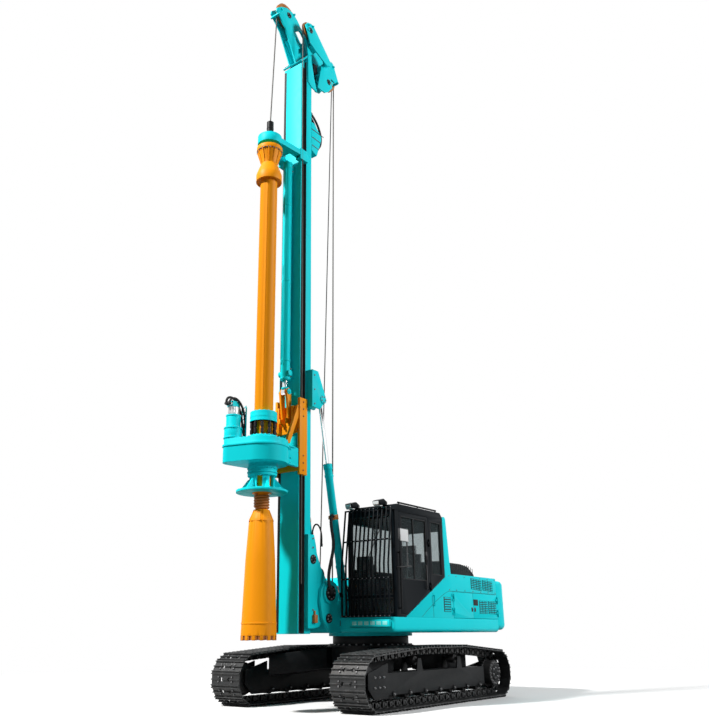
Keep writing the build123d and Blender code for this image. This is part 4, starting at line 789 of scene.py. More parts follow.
crease_shape = bmesh.new()
add_box(crease_shape, at(-2.236, side_face - 0.001, 1.7475), at(-0.430, side_face + 0.0012, 1.7535))
steps = 12
seam_start, seam_run, seam_face = -0.43, 0.93, side_face + 0.0012
for number in range(steps):
    ends = []
    for part in (number, number + 1):
        ends.append((seam_start + seam_run * part / steps, 1.7505 - 0.4305 * (part / steps) ** 1.25))
    (x, z), (x_next, z_next) = ends
    quad = [crease_shape.verts.new(at(*corner)) for corner in (
        (x, seam_face, z - 0.003), (x_next, seam_face, z_next - 0.003),
        (x_next, seam_face, z_next + 0.003), (x, seam_face, z + 0.003))]
    crease_shape.faces.new(quad)
add_box(crease_shape, at(0.118, side_face - 0.001, 1.318), at(0.124, side_face + 0.0012, 1.700))
built("panel_seams", crease_shape, gloom, "house")

panel_bolts = []
for x in (-2.19, -1.90, -1.60, -1.30, -1.00, -0.70, -0.45):
    for z in (2.005, 1.775):
        panel_bolts += [(at(x, hand * side_face, z), (0, hand, 0), (1, 0, 0)) for hand in (1, -1)]
repeated("panel_bolts", bolt_mesh(0.013), panel_bolts, bolt_steel, "house")

# Low fins on the exhaust housing, a filler neck and caps on the tanks, lids on the hood, and
# anti-slip tread on the walkway.
fin_seeds = [(at(-2.00 + 0.072 * number, 1.000, 2.165 + min(0.05, 0.02 * number)), Vector((0, 1, 0)),
              Vector((0, 0, 1))) for number in range(12)]
fin = slat_long.copy()
fin.transform(Matrix.Diagonal((0.120, 1.2, 0.9, 1)))
repeated("exhaust_fins", fin, fin_seeds, plastic, "hood")
cap_on_tank = lathe("tank_cap", [(0, 0.05), (0.040, 0.05), (0.048, 0.042), (0.048, 0.0), (0.062, 0.0),
                                 (0.062, -0.01)])
for name, x, y, top in (("fuel_cap", -0.52, -1.05, 2.040), ("oil_cap", 0.30, -1.05, 1.900)):
    neck = cap_on_tank.copy()
    neck.transform(Matrix.Translation(at(x, y, top)))
    shown(name, neck, black, "house")
tread_seeds = []
for row in range(9):
    for column in range(6):
        turn = pi / 4 + (row + column) % 2 * pi / 2
        tread_seeds.append((at(0.70 + 0.048 * row, -1.28 + 0.095 * column, 1.640), (0, 0, 1),
                            (cos(turn), sin(turn), 0)))
tread_unit = bmesh.new()
add_box(tread_unit, (-0.014, -0.004, -0.001), (0.014, 0.004, 0.0025))
repeated("walkway_tread", as_mesh("tread", tread_unit), tread_seeds, cyan, "house")
hood_shape = bmesh.new()
for x0, x1, y0, y1 in ((-1.05, -0.90, -0.75, 0.35), (-1.70, -1.20, -0.90, 0.30),
                       (-2.05, -1.78, -0.90, 0.30)):
    add_box(hood_shape, at(x0, y0, 2.036), at(x1, y1, 2.050))
built("hood_lids", hood_shape, cyan, "hood", 0.006, 3)

# ---- winches --------------------------------------------------------------------------------
# Each winch drum carries a few close turns of wire rope between its flanges. Bolted covers
# close the drive gear on both sides.
# A darker, browner copy of the orange enamel: partly the parts' own browner orange, and partly painted shade,
# most of all on the sheaves.
darker_orange_partly_painted_shade = weathered("darker_orange_partly_painted_shade", (0.42, 0.13, 0.012), Dust=0.3, Rub=0.5, Roughness=0.5)

rounded("main_winch_frame", 0.003, black, "house")
rounded("service_winch_frame", 0.003, black, "mast")
rounded("main_winch_drum", 0.003, darker_orange_partly_painted_shade, "main_drum")
rounded("service_winch_drum", 0.003, darker_orange_partly_painted_shade, "service_drum")
rope_steel = weathered("wire_rope", (0.055, 0.052, 0.048), metallic=0.6, Dust=0.4, Rub=0.0, Roughness=0.45,
                       Relief=0.6)
rope_radius = 0.012
core = 0.120
for name, pin_name, half, body in (("main_rope_turns", "main_winch_turn", 0.100, "main_drum"),
                                   ("service_rope_turns", "service_winch_turn", 0.136, "service_drum")):
    ridges = int(2 * half / (2 * rope_radius))
    profile = []
    for number in range(ridges):
        middle = -half + rope_radius * (2 * number + 1)
        for step in range(5):
            turn = pi * step / 4
            profile.append((core + rope_radius * (0.4 + sin(turn)), middle - rope_radius * cos(turn)))
    coil = lathe(name, [(core, -half)] + profile + [(core, half)], 40)
    coil.transform(Matrix.Translation(pins[pin_name]) @ Matrix.Rotation(radians(-90), 4, "X"))
    shown(name, coil, rope_steel, body)
gear_seeds = []
for hand in (1, -1):
    cover = pins["main_winch_turn"] + Vector((0, hand * 0.178, 0))
    gear_seeds += ring_seeds(cover, (0, hand, 0), 0.095, 10)
repeated("winch_cover_bolts", bolt_mesh(0.016), gear_seeds, bolt_steel, "house")

# ---- cab ------------------------------------------------------------------------------------
# The cab is a black welded shell with grey-tinted panes in rubber seals. A sprung seat stands
# between two consoles with joysticks, a display and two pedal levers.
def add_post(shape, foot, height, radius, sides=20):
    """Adds an upright round bar."""
    add_bar(shape, foot, foot + Vector((0, 0, height)), radius, sides)


cab_black = weathered("cab_enamel", (0.002, 0.004, 0.006), specular=0.05, Dust=0.01, Rub=0.1, Roughness=0.32)
rubber = weathered("hose_rubber", (0.006, 0.006, 0.007), specular=0.2, Dust=0.2, Rub=0.0, Roughness=0.55)
cloth = weathered("seat_cloth", (0.022, 0.023, 0.028), specular=0.2, Dust=0.1, Rub=0.0, Roughness=0.85,
                  Relief=0.9)
screen = smooth_material("console_screen", (0.01, 0.012, 0.016), 0.08, Coat_Weight=1.0)
glass = smooth_material("cab_glass", (0.30, 0.36, 0.37), 0.02, Transmission_Weight=0.9, Alpha=0.55, IOR=1.02,
                        Specular_IOR_Level=0.8)

rounded("cab_frame", 0.006, cab_black, "house", 3)
rounded("cab_roof_shell", 0.022, cab_black, "house", 4)
rounded("cab_door", 0.008, cab_black, "entry_door", 3)
for node, body in (("cab_glass", "house"), ("door_glass", "entry_door")):
    rounded(node, 0.0, glass, body)

seal_shape = bmesh.new()
door_seal_shape = bmesh.new()


def frame_round(shape, fixed, face, low, high, width, depth):
    """A rectangular seal round an opening. fixed is the axis it faces, face its place."""
    others = [axis for axis in range(3) if axis != fixed]
    (a0, b0), (a1, b1) = low, high
    for strip in (((a0, b0), (a1, b0 + width)), ((a0, b1 - width), (a1, b1)), ((a0, b0), (a0 + width, b1)),
                  ((a1 - width, b0), (a1, b1))):
        corner_low = [0, 0, 0]
        corner_high = [0, 0, 0]
        corner_low[fixed], corner_high[fixed] = face, face + depth
        for axis, low_value, high_value in zip(others, strip[0], strip[1]):
            corner_low[axis], corner_high[axis] = low_value, high_value
        add_box(shape, at(*corner_low), at(*corner_high))


deck_top = 1.310
roof_z = deck_top + 1.740
frame_round(seal_shape, 0, 1.191, (0.492, deck_top + 0.330), (1.288, roof_z - 0.170), 0.014, 0.042)
frame_round(seal_shape, 0, 1.191, (0.492, deck_top + 0.060), (1.288, deck_top + 0.290), 0.012, 0.042)
frame_round(seal_shape, 0, -0.312, (0.492, deck_top + 0.920), (1.288, roof_z - 0.295), 0.014, 0.042)
frame_round(seal_shape, 1, 0.428, (-0.220, deck_top + 0.740), (1.140, roof_z - 0.250), 0.014, 0.034)
frame_round(seal_shape, 1, 1.318, (-0.230, deck_top + 0.680), (0.114, roof_z - 0.180), 0.014, 0.034)
add_box(seal_shape, at(0.440, 0.436, deck_top + 0.740), at(0.470, 0.462, roof_z - 0.250))
frame_round(door_seal_shape, 1, 1.318, (0.265, deck_top + 0.570), (1.040, roof_z - 0.185), 0.014, 0.034)
add_box(door_seal_shape, at(0.655, 1.324, deck_top + 0.570), at(0.672, 1.349, roof_z - 0.185))
built("window_seals", seal_shape, rubber, "house", 0.003)
built("door_seals", door_seal_shape, rubber, "entry_door", 0.003)

door_fittings = bmesh.new()
add_box(door_fittings, at(0.265, 1.349, 2.290), at(0.315, 1.362, 2.350))
add_bar(door_fittings, at(0.285, 1.362, 2.290), at(0.285, 1.362, 2.220), 0.010, 12)
add_bar(door_fittings, at(0.330, 1.378, 1.760), at(0.330, 1.378, 2.120), 0.011, 16)
for z in (1.760, 2.120):
    add_bar(door_fittings, at(0.330, 1.345, z), at(0.330, 1.378, z), 0.011, 16)
built("cab_door_handles", door_fittings, plastic, "entry_door", 0.003)

panel_pull = bmesh.new()
grab_line = [at(0.125, y, z) for y, z in ((1.348, 1.500), (1.384, 1.500), (1.384, 1.660), (1.348, 1.660))]
for start, end in zip(grab_line, grab_line[1:]):
    add_bar(panel_pull, start, end, 0.009, 14)
built("panel_grab", panel_pull, cyan, "house")

rounded("operator_seat", 0.045, cloth, "house", 4)
rounded("control_console", 0.012, plastic, "house", 3)
console_shape = bmesh.new()
cab_middle = 0.890
floor_top = deck_top + 0.050
console_top = floor_top + 0.560
for hand in (1, -1):
    y = cab_middle + hand * 0.330
    for number in range(4):
        add_post(console_shape, at(0.420 + 0.055 * number, y, console_top - 0.001), 0.008, 0.014, 14)
    add_box(console_shape, at(0.280, y - 0.045, console_top - 0.001),
            at(0.380, y + 0.045, console_top + 0.015))
for y in (cab_middle - 0.270, cab_middle + 0.235):
    add_box(console_shape, at(0.180, y, console_top), at(0.430, y + 0.035, console_top + 0.040))
built("console_controls", console_shape, plastic, "house", 0.003)
display_shape = bmesh.new()
add_box(display_shape, at(0.972, 0.530, floor_top + 0.640), at(0.979, 0.740, floor_top + 0.860))
built("cab_display", display_shape, screen, "house", 0.004)
headrest = bmesh.new()
add_box(headrest, at(0.055, cab_middle - 0.130, floor_top + 0.990),
        at(0.145, cab_middle + 0.130, floor_top + 1.130))
for y in (cab_middle - 0.06, cab_middle + 0.06):
    add_bar(headrest, at(0.100, y, floor_top + 0.95), at(0.100, y, floor_top + 1.00), 0.008, 10)
built("seat_headrest", headrest, cloth, "house", 0.030, 4)

wiper = bmesh.new()
add_bar(wiper, at(1.236, 0.760, 2.080), at(1.232, 1.060, 2.640), 0.008, 8)
add_box(wiper, at(1.231, 0.735, 2.040), at(1.245, 0.800, 2.100))
for number in range(2):
    add_bar(wiper, at(1.232, 1.060 - 0.06 * number, 2.280), at(1.228, 1.070 - 0.06 * number, 2.780), 0.006, 8)
built("wiper", wiper, plastic, "house")

# ---- guard, lamps, mirror and rails ---------------------------------------------------------
# A cage of flat bars protects the windscreen. Two work lamps stand on the roof, a mirror on a
# bent arm hangs beside the door, and round rails run along the roof and the front pillar.
# The mirror's glass is a pale matte plate: its pale colour is a painted reflection of the bright surround.
pale = smooth_material("painted_mirror_reflection", (0.62, 0.63, 0.63), 0.45)
lens = smooth_material("lamp_lens", (0.85, 0.87, 0.88), 0.08, Transmission_Weight=0.35, Coat_Weight=0.5)

rounded("front_guard", 0.003, cab_black, "house", 2)
rounded("handrails", 0.0, black, "house")
rounded("work_lamps", 0.018, cab_black, "house", 3)
rounded("mirror", 0.006, plastic, "house", 2)
lamp_shape = bmesh.new()
lamp_rims = bmesh.new()
for y in (0.530, 1.080):
    add_box(lamp_shape, at(1.222, y - 0.056, roof_z - 0.036), at(1.324, y + 0.056, roof_z - 0.016))
    add_box(lamp_shape, at(1.330, y - 0.052, roof_z - 0.016), at(1.349, y + 0.052, roof_z + 0.040))
    add_bar(lamp_rims, at(1.150, y - 0.078, roof_z + 0.030), at(1.150, y + 0.078, roof_z + 0.030), 0.016, 12)
    for side in (-0.078, 0.072):
        add_box(lamp_rims, at(1.130, y + side, roof_z - 0.004), at(1.170, y + side + 0.006, roof_z + 0.050))
built("lamp_lenses", lamp_shape, lens, "house", 0.006, 3)
built("lamp_brackets", lamp_rims, plastic, "house")
# Mirror face: painted reflection, a pale matte plate in place of the mirrored surround.
mirror_shape = bmesh.new()
mirror_high = Vector(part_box("mirror")[1])
add_box(mirror_shape, (mirror_high.x - 0.232, mirror_high.y - 0.001, mirror_high.z - 0.195),
        (mirror_high.x - 0.008, mirror_high.y + 0.003, mirror_high.z - 0.012))
built("mirror_face", mirror_shape, pale, "house", 0.008, 3, 60)
grip_seeds = []
guard_bend, guard_top = deck_top + 0.790, roof_z - 0.050
for number in range(12):
    y = 0.414 + number * 0.896 / 11
    for z in (deck_top + 0.018, deck_top + 0.582, deck_top + 1.172, guard_top - 0.012):
        x = 1.394 - 0.125 * max(0, z - guard_bend) / (guard_top - guard_bend)
        grip_seeds.append((at(x, y, z), (1, 0, 0), (0, 1, 0)))
repeated("guard_bolts", bolt_mesh(0.012), grip_seeds, bolt_steel, "house")
roof_lid = bmesh.new()
add_box(roof_lid, at(0.010, 0.570, roof_z - 0.022), at(0.510, 1.210, roof_z - 0.012))
built("roof_hatch", roof_lid, plastic, "house", 0.004)

# ---- mast -----------------------------------------------------------------------------------
# The mast is a long welded box in the light enamel. Its front plate stands proud as a rail on
# each side, with painted shade in near-black in the groove behind. Two foot plates hold the
# hinge at the bottom.
rounded("mast_box", 0.004, cyan, "mast")
mast_front = 2.256
mast_half = 0.2165
mast_low, mast_top = 1.070, 11.580
core_half = 0.1645
groove_rear, groove_front = 2.098, 2.234

# Painted shade: near-black sheets on the floor and back wall of each rail's groove, for the shade in it.
rail_painted_shade = bmesh.new()
rail_line = bmesh.new()
for hand in (1, -1):
    add_box(rail_painted_shade, at(groove_rear - 0.001, hand * (core_half - 0.004), mast_low + 0.01),
            at(groove_front + 0.001, hand * (core_half + 0.004), mast_top - 0.02))
    add_box(rail_painted_shade, at(groove_rear - 0.001, hand * core_half, mast_low + 0.01),
            at(groove_rear + 0.004, hand * (mast_half - 0.002), mast_top + 0.12))
    add_box(rail_line, at(groove_rear + 0.030, hand * (core_half + 0.002), mast_low + 0.04),
            at(groove_rear + 0.050, hand * (core_half + 0.026), mast_top - 0.06))
built("rail_groove", rail_painted_shade, gloom, "mast")
built("rail_line", rail_line, black, "mast", 0.002)
front_strip = bmesh.new()
add_box(front_strip, at(mast_front - 0.002, -mast_half + 0.004, mast_low + 0.02),
        at(mast_front + 0.003, -mast_half + 0.055, mast_top - 0.05))
built("rail_wear_strip", front_strip, black, "mast")
side_seam = bmesh.new()
for hand in (1, -1):
    for z in (1.30, 4.55, 5.33, 7.90, 10.46):
        add_box(side_seam, at(1.950, hand * (mast_half - 0.002), z),
                at(groove_rear - 0.006, hand * (mast_half + 0.003), z + 0.016))
built("mast_seams", side_seam, cyan, "mast", 0.002)

rounded("mast_foot", 0.005, cyan, "mast")
foot_bolts = []
foot_hub_x, foot_hub_z = 1.970, 2.180
for hand in (1, -1):
    face_y = hand * 0.288
    foot_bolts += ring_seeds(at(foot_hub_x, face_y, foot_hub_z), (0, hand, 0), 0.050, 6)
    for z in (1.24, 1.42, 2.36, 2.50):
        foot_bolts.append((at(1.975, face_y, z), (0, hand, 0), (1, 0, 0)))
repeated("foot_plate_bolts", bolt_mesh(0.022), foot_bolts, bolt_steel, "mast")
foot_hub = bmesh.new()
for hand in (1, -1):
    hub = at(foot_hub_x, hand * 0.300, foot_hub_z)
    add_disc(foot_hub, hub, hand, 0.020, 0, 0.072)
    add_disc(foot_hub, hub, hand, 0, 0.012, 0.030, 24)
built("foot_plate_hubs", foot_hub, black, "mast", 0.003)

valve_shape = bmesh.new()
add_box(valve_shape, at(1.905, 0.286, 1.230), at(1.985, 0.335, 1.350))
add_bar(valve_shape, at(1.945, 0.300, 1.350), at(1.945, 0.300, 1.410), 0.016, 16)
built("relief_valve", valve_shape, darker_orange_partly_painted_shade, "mast", 0.006)

# ---- tilt and crowd cylinders ---------------------------------------------------------------
# Two long cylinders lean from the deck to brackets behind the mast. A third stands on the
# mast's face and pushes the rotary head. Their barrels are painted and their rods plated.
chrome = smooth_material("chrome_rod", (0.72, 0.73, 0.75), 0.12, metallic=1.0)

rounded("cylinder_brackets", 0.006, cyan, "mast")
rounded("tilt_barrels", 0.004, cyan, "tilt_cylinder_barrels")
rounded("tilt_rods", 0.0, chrome, "tilt_cylinder_rods")
rounded("crowd_cylinder", 0.006, cyan, "mast")
rounded("crowd_rod", 0.0, chrome, "rotary_head")

tilt_foot = Vector((1.140, 0, 1.500))
tilt_eye = Vector((1.800, 0, 4.820))
tilt_way = (tilt_eye - tilt_foot).normalized()


def on_cylinder(y, along, out=0.0, side=0.0):
    """A point on a tilt cylinder's axis, moved out ahead of it and to its side."""
    ahead = Vector((tilt_way.z, 0, -tilt_way.x))
    place = tilt_foot + tilt_way * along + ahead * out
    return at(place.x, y + side, place.z)


barrel_fittings = bmesh.new()
clamp_shape = bmesh.new()
cylinder_ys = (0.290, -0.290)
for y in cylinder_ys:
    for along in (0.62, 2.10):
        add_bar(clamp_shape, on_cylinder(y, along - 0.022), on_cylinder(y, along + 0.022), 0.073, 32)
        add_box(clamp_shape, on_cylinder(y, along - 0.02, -0.105, -0.022),
                on_cylinder(y, along + 0.02, -0.06, 0.022))
    add_bar(barrel_fittings, on_cylinder(y, 0.18, -0.092), on_cylinder(y, 2.21, -0.092), 0.011, 14)
    for along in (2.20, 0.17):
        add_bar(barrel_fittings, on_cylinder(y, along, -0.096), on_cylinder(y, along, -0.05), 0.015, 14)
    add_box(barrel_fittings, on_cylinder(y, 0.14, 0.045, -0.035), on_cylinder(y, 0.22, 0.105, 0.035))
built("barrel_clamps", clamp_shape, cyan, "tilt_cylinder_barrels", 0.003)
hose_clamp = bmesh.new()
for y in cylinder_ys:
    add_bar(hose_clamp, on_cylinder(y, 1.38), on_cylinder(y, 1.46), 0.074, 32)
    add_box(hose_clamp, on_cylinder(y, 1.385, 0.060, -0.030), on_cylinder(y, 1.455, 0.112, 0.030))
built("hose_clamps", hose_clamp, darker_orange_partly_painted_shade, "tilt_cylinder_barrels", 0.003)
built("barrel_pipes", barrel_fittings, black, "tilt_cylinder_barrels", 0.002)
gland_seeds = []
for y in cylinder_ys:
    gland_seeds += ring_seeds(on_cylinder(y, 2.2995), tilt_way, 0.055, 10)
repeated("gland_bolts", bolt_mesh(0.012, washer=False), gland_seeds, bolt_steel, "tilt_cylinder_barrels")

bracket_bolts = []
for hand in (1, -1):
    bracket_bolts += ring_seeds(at(tilt_eye.x, hand * 0.376, tilt_eye.z), (0, hand, 0), 0.052, 5)
    for z in (4.70, 4.95, 5.20):
        bracket_bolts.append((at(2.030, hand * 0.365, z), (0, hand, 0), (1, 0, 0)))
repeated("bracket_bolts", bolt_mesh(0.020), bracket_bolts, bolt_steel, "mast")

crowd_bands = bmesh.new()
crowd_x = 2.370
for z in (5.10, 5.42, 6.90, 8.40, 9.19, 9.285):
    add_post(crowd_bands, at(crowd_x, 0, z), 0.030, 0.087, 40)
for y, top in ((0.020, 9.18), (-0.020, 7.2)):
    add_bar(crowd_bands, at(crowd_x + 0.082, y, 5.36), at(crowd_x + 0.082, y, top), 0.011, 12)
built("crowd_bands", crowd_bands, cyan, "mast", 0.003)
crowd_bolts = []
for z in (5.16, 5.29, 9.14, 9.24):
    crowd_bolts += [(at(2.320, hand * 0.070, z), (0, hand, 0), (1, 0, 0)) for hand in (1, -1)]
repeated("crowd_bolts", bolt_mesh(0.020), crowd_bolts, bolt_steel, "mast")

rounded("hose_guide", 0.012, cyan, "mast", 3)
guide_ribs = bmesh.new()
for z in (9.86, 10.04, 10.22):
    add_box(guide_ribs, at(1.720 - 0.4 * (z - 9.86), 0.219, z), at(1.936, 0.224, z + 0.02))
built("hose_guide_ribs", guide_ribs, plastic, "mast", 0.002)

# ---- rope head ------------------------------------------------------------------------------
# The head is welded from plates with lightening holes. Round distance bars with domed nuts
# tie each pair, and cast sheaves with rope grooves turn between them on greased pins.
def add_prism(shape, first, second):
    """Adds a solid between two like outlines to a bmesh."""
    near, far = ([shape.verts.new(place) for place in outline] for outline in (first, second))
    shape.faces.new(near)
    shape.faces.new(far[::-1])
    for number in range(len(near)):
        after = (number + 1) % len(near)
        shape.faces.new((near[number], far[number], far[after], near[after]))


def plate_cutter(name, points, low, high):
    """A prism through a plate, from a side-view outline between two widths."""
    shape = bmesh.new()
    add_prism(shape, *([at(x, y, z) for x, z in points] for y in (low, high)))
    return as_mesh(name, shape)


def softened(corners, radius, steps=5):
    """A side-view outline with its corners rounded."""
    found = []
    count = len(corners)
    for number in range(count):
        here = Vector(corners[number])
        before = (Vector(corners[number - 1]) - here)
        after = (Vector(corners[(number + 1) % count]) - here)
        cut = min(radius, before.length * 0.45, after.length * 0.45)
        start = here + before.normalized() * cut
        end = here + after.normalized() * cut
        for step in range(steps + 1):
            share = step / steps
            bent = (1 - share) ** 2 * start + 2 * share * (1 - share) * here + share ** 2 * end
            found.append(tuple(bent))
    return found


arm_hole = softened([(2.165, 12.480), (2.300, 12.360), (2.330, 12.270), (2.245, 12.115), (2.080, 12.215),
                     (2.020, 12.350)], 0.050)
slot_hole = softened([(2.233, 11.971), (2.087, 12.108), (2.040, 12.062), (2.196, 11.890)], 0.022)
rounded("mast_head", 0.004, cyan, "mast", 2,
        cutters=[plate_cutter("hole", outline, low, low + 0.050)
                 for outline in (arm_hole, slot_hole) for low in (0.050, -0.100)])

knob_shape = bmesh.new()
knob_bolts = []
head_knobs = [(2.995 - 0.190, 12.433, 0.086), (2.720, 12.600, 0.086), (2.349, 12.740, 0.086),
              (2.180, 12.360, 0.320), (2.170, 12.500, 0.320), (2.039, 12.540, 0.320),
              (1.240, 12.120, 0.227), (1.110, 11.800, 0.227)]
for x, z, y in head_knobs:
    add_bar(knob_shape, at(x, -y if y < 0.1 else y - 0.10, z), at(x, y + 0.014, z), 0.026, 24)
    add_bar(knob_shape, at(x, y + 0.014, z), at(x, y + 0.030, z), 0.020, 6)
    if y < 0.1:
        add_bar(knob_shape, at(x, -y - 0.030, z), at(x, -y - 0.001, z), 0.020, 6)
built("head_knobs", knob_shape, cyan, "mast", 0.003)
head_block = bmesh.new()
add_box(head_block, at(1.610, -0.070, 11.640), at(1.860, 0.070, 11.960))
add_box(head_block, at(1.680, 0.070, 11.700), at(1.800, 0.150, 11.900))
built("limit_switch_box", head_block, black, "mast", 0.010, 3)

main_front, main_rear = Vector((2.500, 12.620)), Vector((1.165, 11.960))
service_front, service_rear = Vector((2.110, 12.400)), Vector((1.400, 11.650))
pin_shape = bmesh.new()
for (x, z), y in ((main_front, 0.082), (main_rear, 0.082), (service_front, 0.316), (service_rear, 0.219)):
    add_bar(pin_shape, at(x, y - 0.004, z), at(x, y + 0.012, z), 0.062, 40)
    add_bar(pin_shape, at(x, y + 0.010, z), at(x, y + 0.026, z), 0.030, 24)
    knob_bolts += ring_seeds(at(x, y + 0.012, z), (0, 1, 0), 0.046, 6)
    if y < 0.1:
        add_bar(pin_shape, at(x, -y - 0.012, z), at(x, -y + 0.004, z), 0.062, 40)
        knob_bolts += ring_seeds(at(x, -y - 0.012, z), (0, -1, 0), 0.046, 6)
built("sheave_pin_caps", pin_shape, black, "mast", 0.003)
lean = radians(50)
for number in range(6):
    along = 0.06 + number * 0.070
    x = 2.270 - along * cos(lean) + 0.034 * sin(lean)
    z = 11.586 + along * sin(lean) + 0.034 * cos(lean)
    for y in (0.195, -0.195, 0.115, -0.115):
        knob_bolts.append((at(x, y, z), (sin(lean), 0, cos(lean)), (0, 1, 0)))
repeated("head_bolts", bolt_mesh(0.018), knob_bolts, bolt_steel, "mast")
# The sheaves take the darker orange, partly painted shade for the shade between the head's plates.
for wheel in ("main_front", "main_rear", "service_front", "service_rear"):
    rounded(wheel + "_sheave", 0.0, darker_orange_partly_painted_shade, wheel + "_wheel")

# ---- rotary head ----------------------------------------------------------------------------
# The rotary head's gearbox is one bolted casting in the light enamel with its motor on the
# front corner. It hangs on an orange welded carriage, and a ring of black buffers tops it.
def around(count, start=0.0):
    """The outward and sideways directions of evenly spaced stations round a Z axis."""
    turns = [2 * pi * number / count + start for number in range(count)]
    return [(Vector((cos(turn), sin(turn), 0)), Vector((-sin(turn), cos(turn), 0))) for turn in turns]


orange = weathered("orange_enamel", (0.84, 0.29, 0.003), specular=0.12, Dust=0.08, Rub=0.3, Roughness=0.42,
                   Bare=(0.22, 0.13, 0.07))
silver = weathered("silver_casting", (0.46, 0.47, 0.48), metallic=0.6, Dust=0.15, Rub=0.2, Roughness=0.36,
                   Relief=0.15)

kelly_x = 2.886
gear_seam, gear_top = 3.860, 3.950
gear_radius = 0.418
motor_at = (3.240, -0.320)
bulge_radius = 0.160
rounded("rotary_gearbox", 0.008, cyan, "rotary_head", 3)
rounded("drive_motor", 0.006, cyan, "rotary_head", 3)
rounded("head_carriage", 0.006, orange, "rotary_head", 2)
rounded("drive_sleeve", 0.006, cyan, "sleeve", 2)

up = Vector((0, 0, 1))
seam_bolts = []
bolt_inset = 0.050
gearbox_line = hull_line([(kelly_x, 0.0, gear_radius - bolt_inset),
                          (*motor_at, bulge_radius - bolt_inset)], 120)
for place, way in spaced(gearbox_line, 30)[0]:
    seam_bolts.append((at(place.x, place.y, gear_top), up, (way.x, way.y, 0)))
    seam_bolts.append((at(place.x, place.y, gear_seam - 0.030), -up, (way.x, way.y, 0)))
repeated("gearbox_bolts", bolt_mesh(0.022), seam_bolts, cyan, "rotary_head")
gear_trim = bmesh.new()
for hand in (1, -1):
    y = hand * 0.245
    for z in (3.64, 3.72, 3.86):
        add_bar(gear_trim, at(2.50, y - hand * 0.002, z), at(2.50, y + hand * 0.014, z), 0.020, 6)
    add_box(gear_trim, at(2.40, y - hand * 0.004, 3.600), at(2.56, y + hand * 0.022, 3.625))
    add_box(gear_trim, at(2.40, y - hand * 0.004, 3.890), at(2.56, y + hand * 0.022, 3.910))
for x, y in ((3.02, 0.24), (2.72, -0.30), (3.06, -0.08)):
    add_bar(gear_trim, at(x, y, gear_top - 0.004), at(x, y, gear_top + 0.030), 0.028, 6)
built("gearbox_fittings", gear_trim, cyan, "rotary_head", 0.003)

neck_bands = bmesh.new()
for z in (3.430, 3.500):
    add_bar(neck_bands, at(kelly_x, 0, z), at(kelly_x, 0, z + 0.026), 0.236, 64)
hollow_neck = as_mesh("bands", neck_bands)
bore_cut = bmesh.new()
add_bar(bore_cut, at(kelly_x, 0, 3.35), at(kelly_x, 0, 3.62), 0.206, 64)
knife = bpy.data.objects.new("knife", as_mesh("bore", bore_cut))
rough = bpy.data.objects.new("bands", hollow_neck)
for thing in (knife, rough):
    scene.collection.objects.link(thing)
cut = rough.modifiers.new("cut", "BOOLEAN")
cut.operation = "DIFFERENCE"
cut.object = knife
neck_mesh = evaluated("neck_bands", rough)
bpy.data.objects.remove(knife)
shown("neck_bands", eased("neck_bands", neck_mesh, 0.004), cyan, "rotary_head")
repeated("neck_bolts", bolt_mesh(0.018), ring_seeds(at(kelly_x, 0, 3.500), (0, 0, -1), 0.226, 20), cyan,
         "rotary_head")
repeated("sleeve_bolts", bolt_mesh(0.018), ring_seeds(at(kelly_x, 0, 3.385), (0, 0, -1), 0.212, 18), cyan,
         "sleeve")
disc_bolts = ring_seeds(at(kelly_x, 0, 3.164), (0, 0, 1), 0.372, 12, 0.26)
repeated("disc_bolts", bolt_mesh(0.020), disc_bolts, cyan, "sleeve")

# The hydraulic motor on the gearbox: a silver casting with a ported cap, a flange with bolts,
# two bent hoses, and a small ladder of flat bars that carries the hoses.
motor_x, motor_y = motor_at
silver_shape = bmesh.new()
add_bar(silver_shape, at(motor_x, motor_y, 4.338), at(motor_x, motor_y, 4.480), 0.084, 40)
add_box(silver_shape, at(motor_x - 0.078, motor_y - 0.058, 4.470),
        at(motor_x + 0.088, motor_y + 0.058, 4.560))
for out, cross in around(8):
    rib = at(motor_x, motor_y, 4.345) + out * 0.080
    add_box(silver_shape, rib - Vector((0.008, 0.008, 0)), rib + Vector((0.008, 0.008, 0.125)))
for y in (motor_y - 0.030, motor_y + 0.030):
    add_bar(silver_shape, at(motor_x + 0.085, y, 4.520), at(motor_x + 0.120, y, 4.520), 0.026, 20)
built("motor_casting", silver_shape, silver, "rotary_head", 0.006, 3)
motor_trim = bmesh.new()
for z, radius in ((3.965, 0.150), (4.120, 0.148), (4.325, 0.122)):
    add_bar(motor_trim, at(motor_x, motor_y, z), at(motor_x, motor_y, z + 0.024), radius, 48)
built("motor_flanges", motor_trim, cyan, "rotary_head", 0.004)
motor_bolts = ring_seeds(at(motor_x, motor_y, 4.144), (0, 0, 1), 0.134, 10)
motor_bolts += ring_seeds(at(motor_x, motor_y, 4.349), (0, 0, 1), 0.108, 10)
motor_bolts += ring_seeds(at(motor_x, motor_y, 3.989), (0, 0, 1), 0.134, 10, 0.3)
repeated("motor_bolts", bolt_mesh(0.014, washer=False), motor_bolts, bolt_steel, "rotary_head")
ladder = bmesh.new()
ladder_x, ladder_y = 3.090, -0.235
for side in (-0.045, 0.045):
    add_box(ladder, at(ladder_x - 0.010, ladder_y + side - 0.008, gear_top - 0.004),
            at(ladder_x + 0.010, ladder_y + side + 0.008, 4.500))
for number in range(6):
    z = 4.010 + 0.090 * number
    add_bar(ladder, at(ladder_x, ladder_y - 0.045, z), at(ladder_x, ladder_y + 0.045, z + 0.060), 0.007, 10)
built("hose_ladder", ladder, cyan, "rotary_head", 0.002)


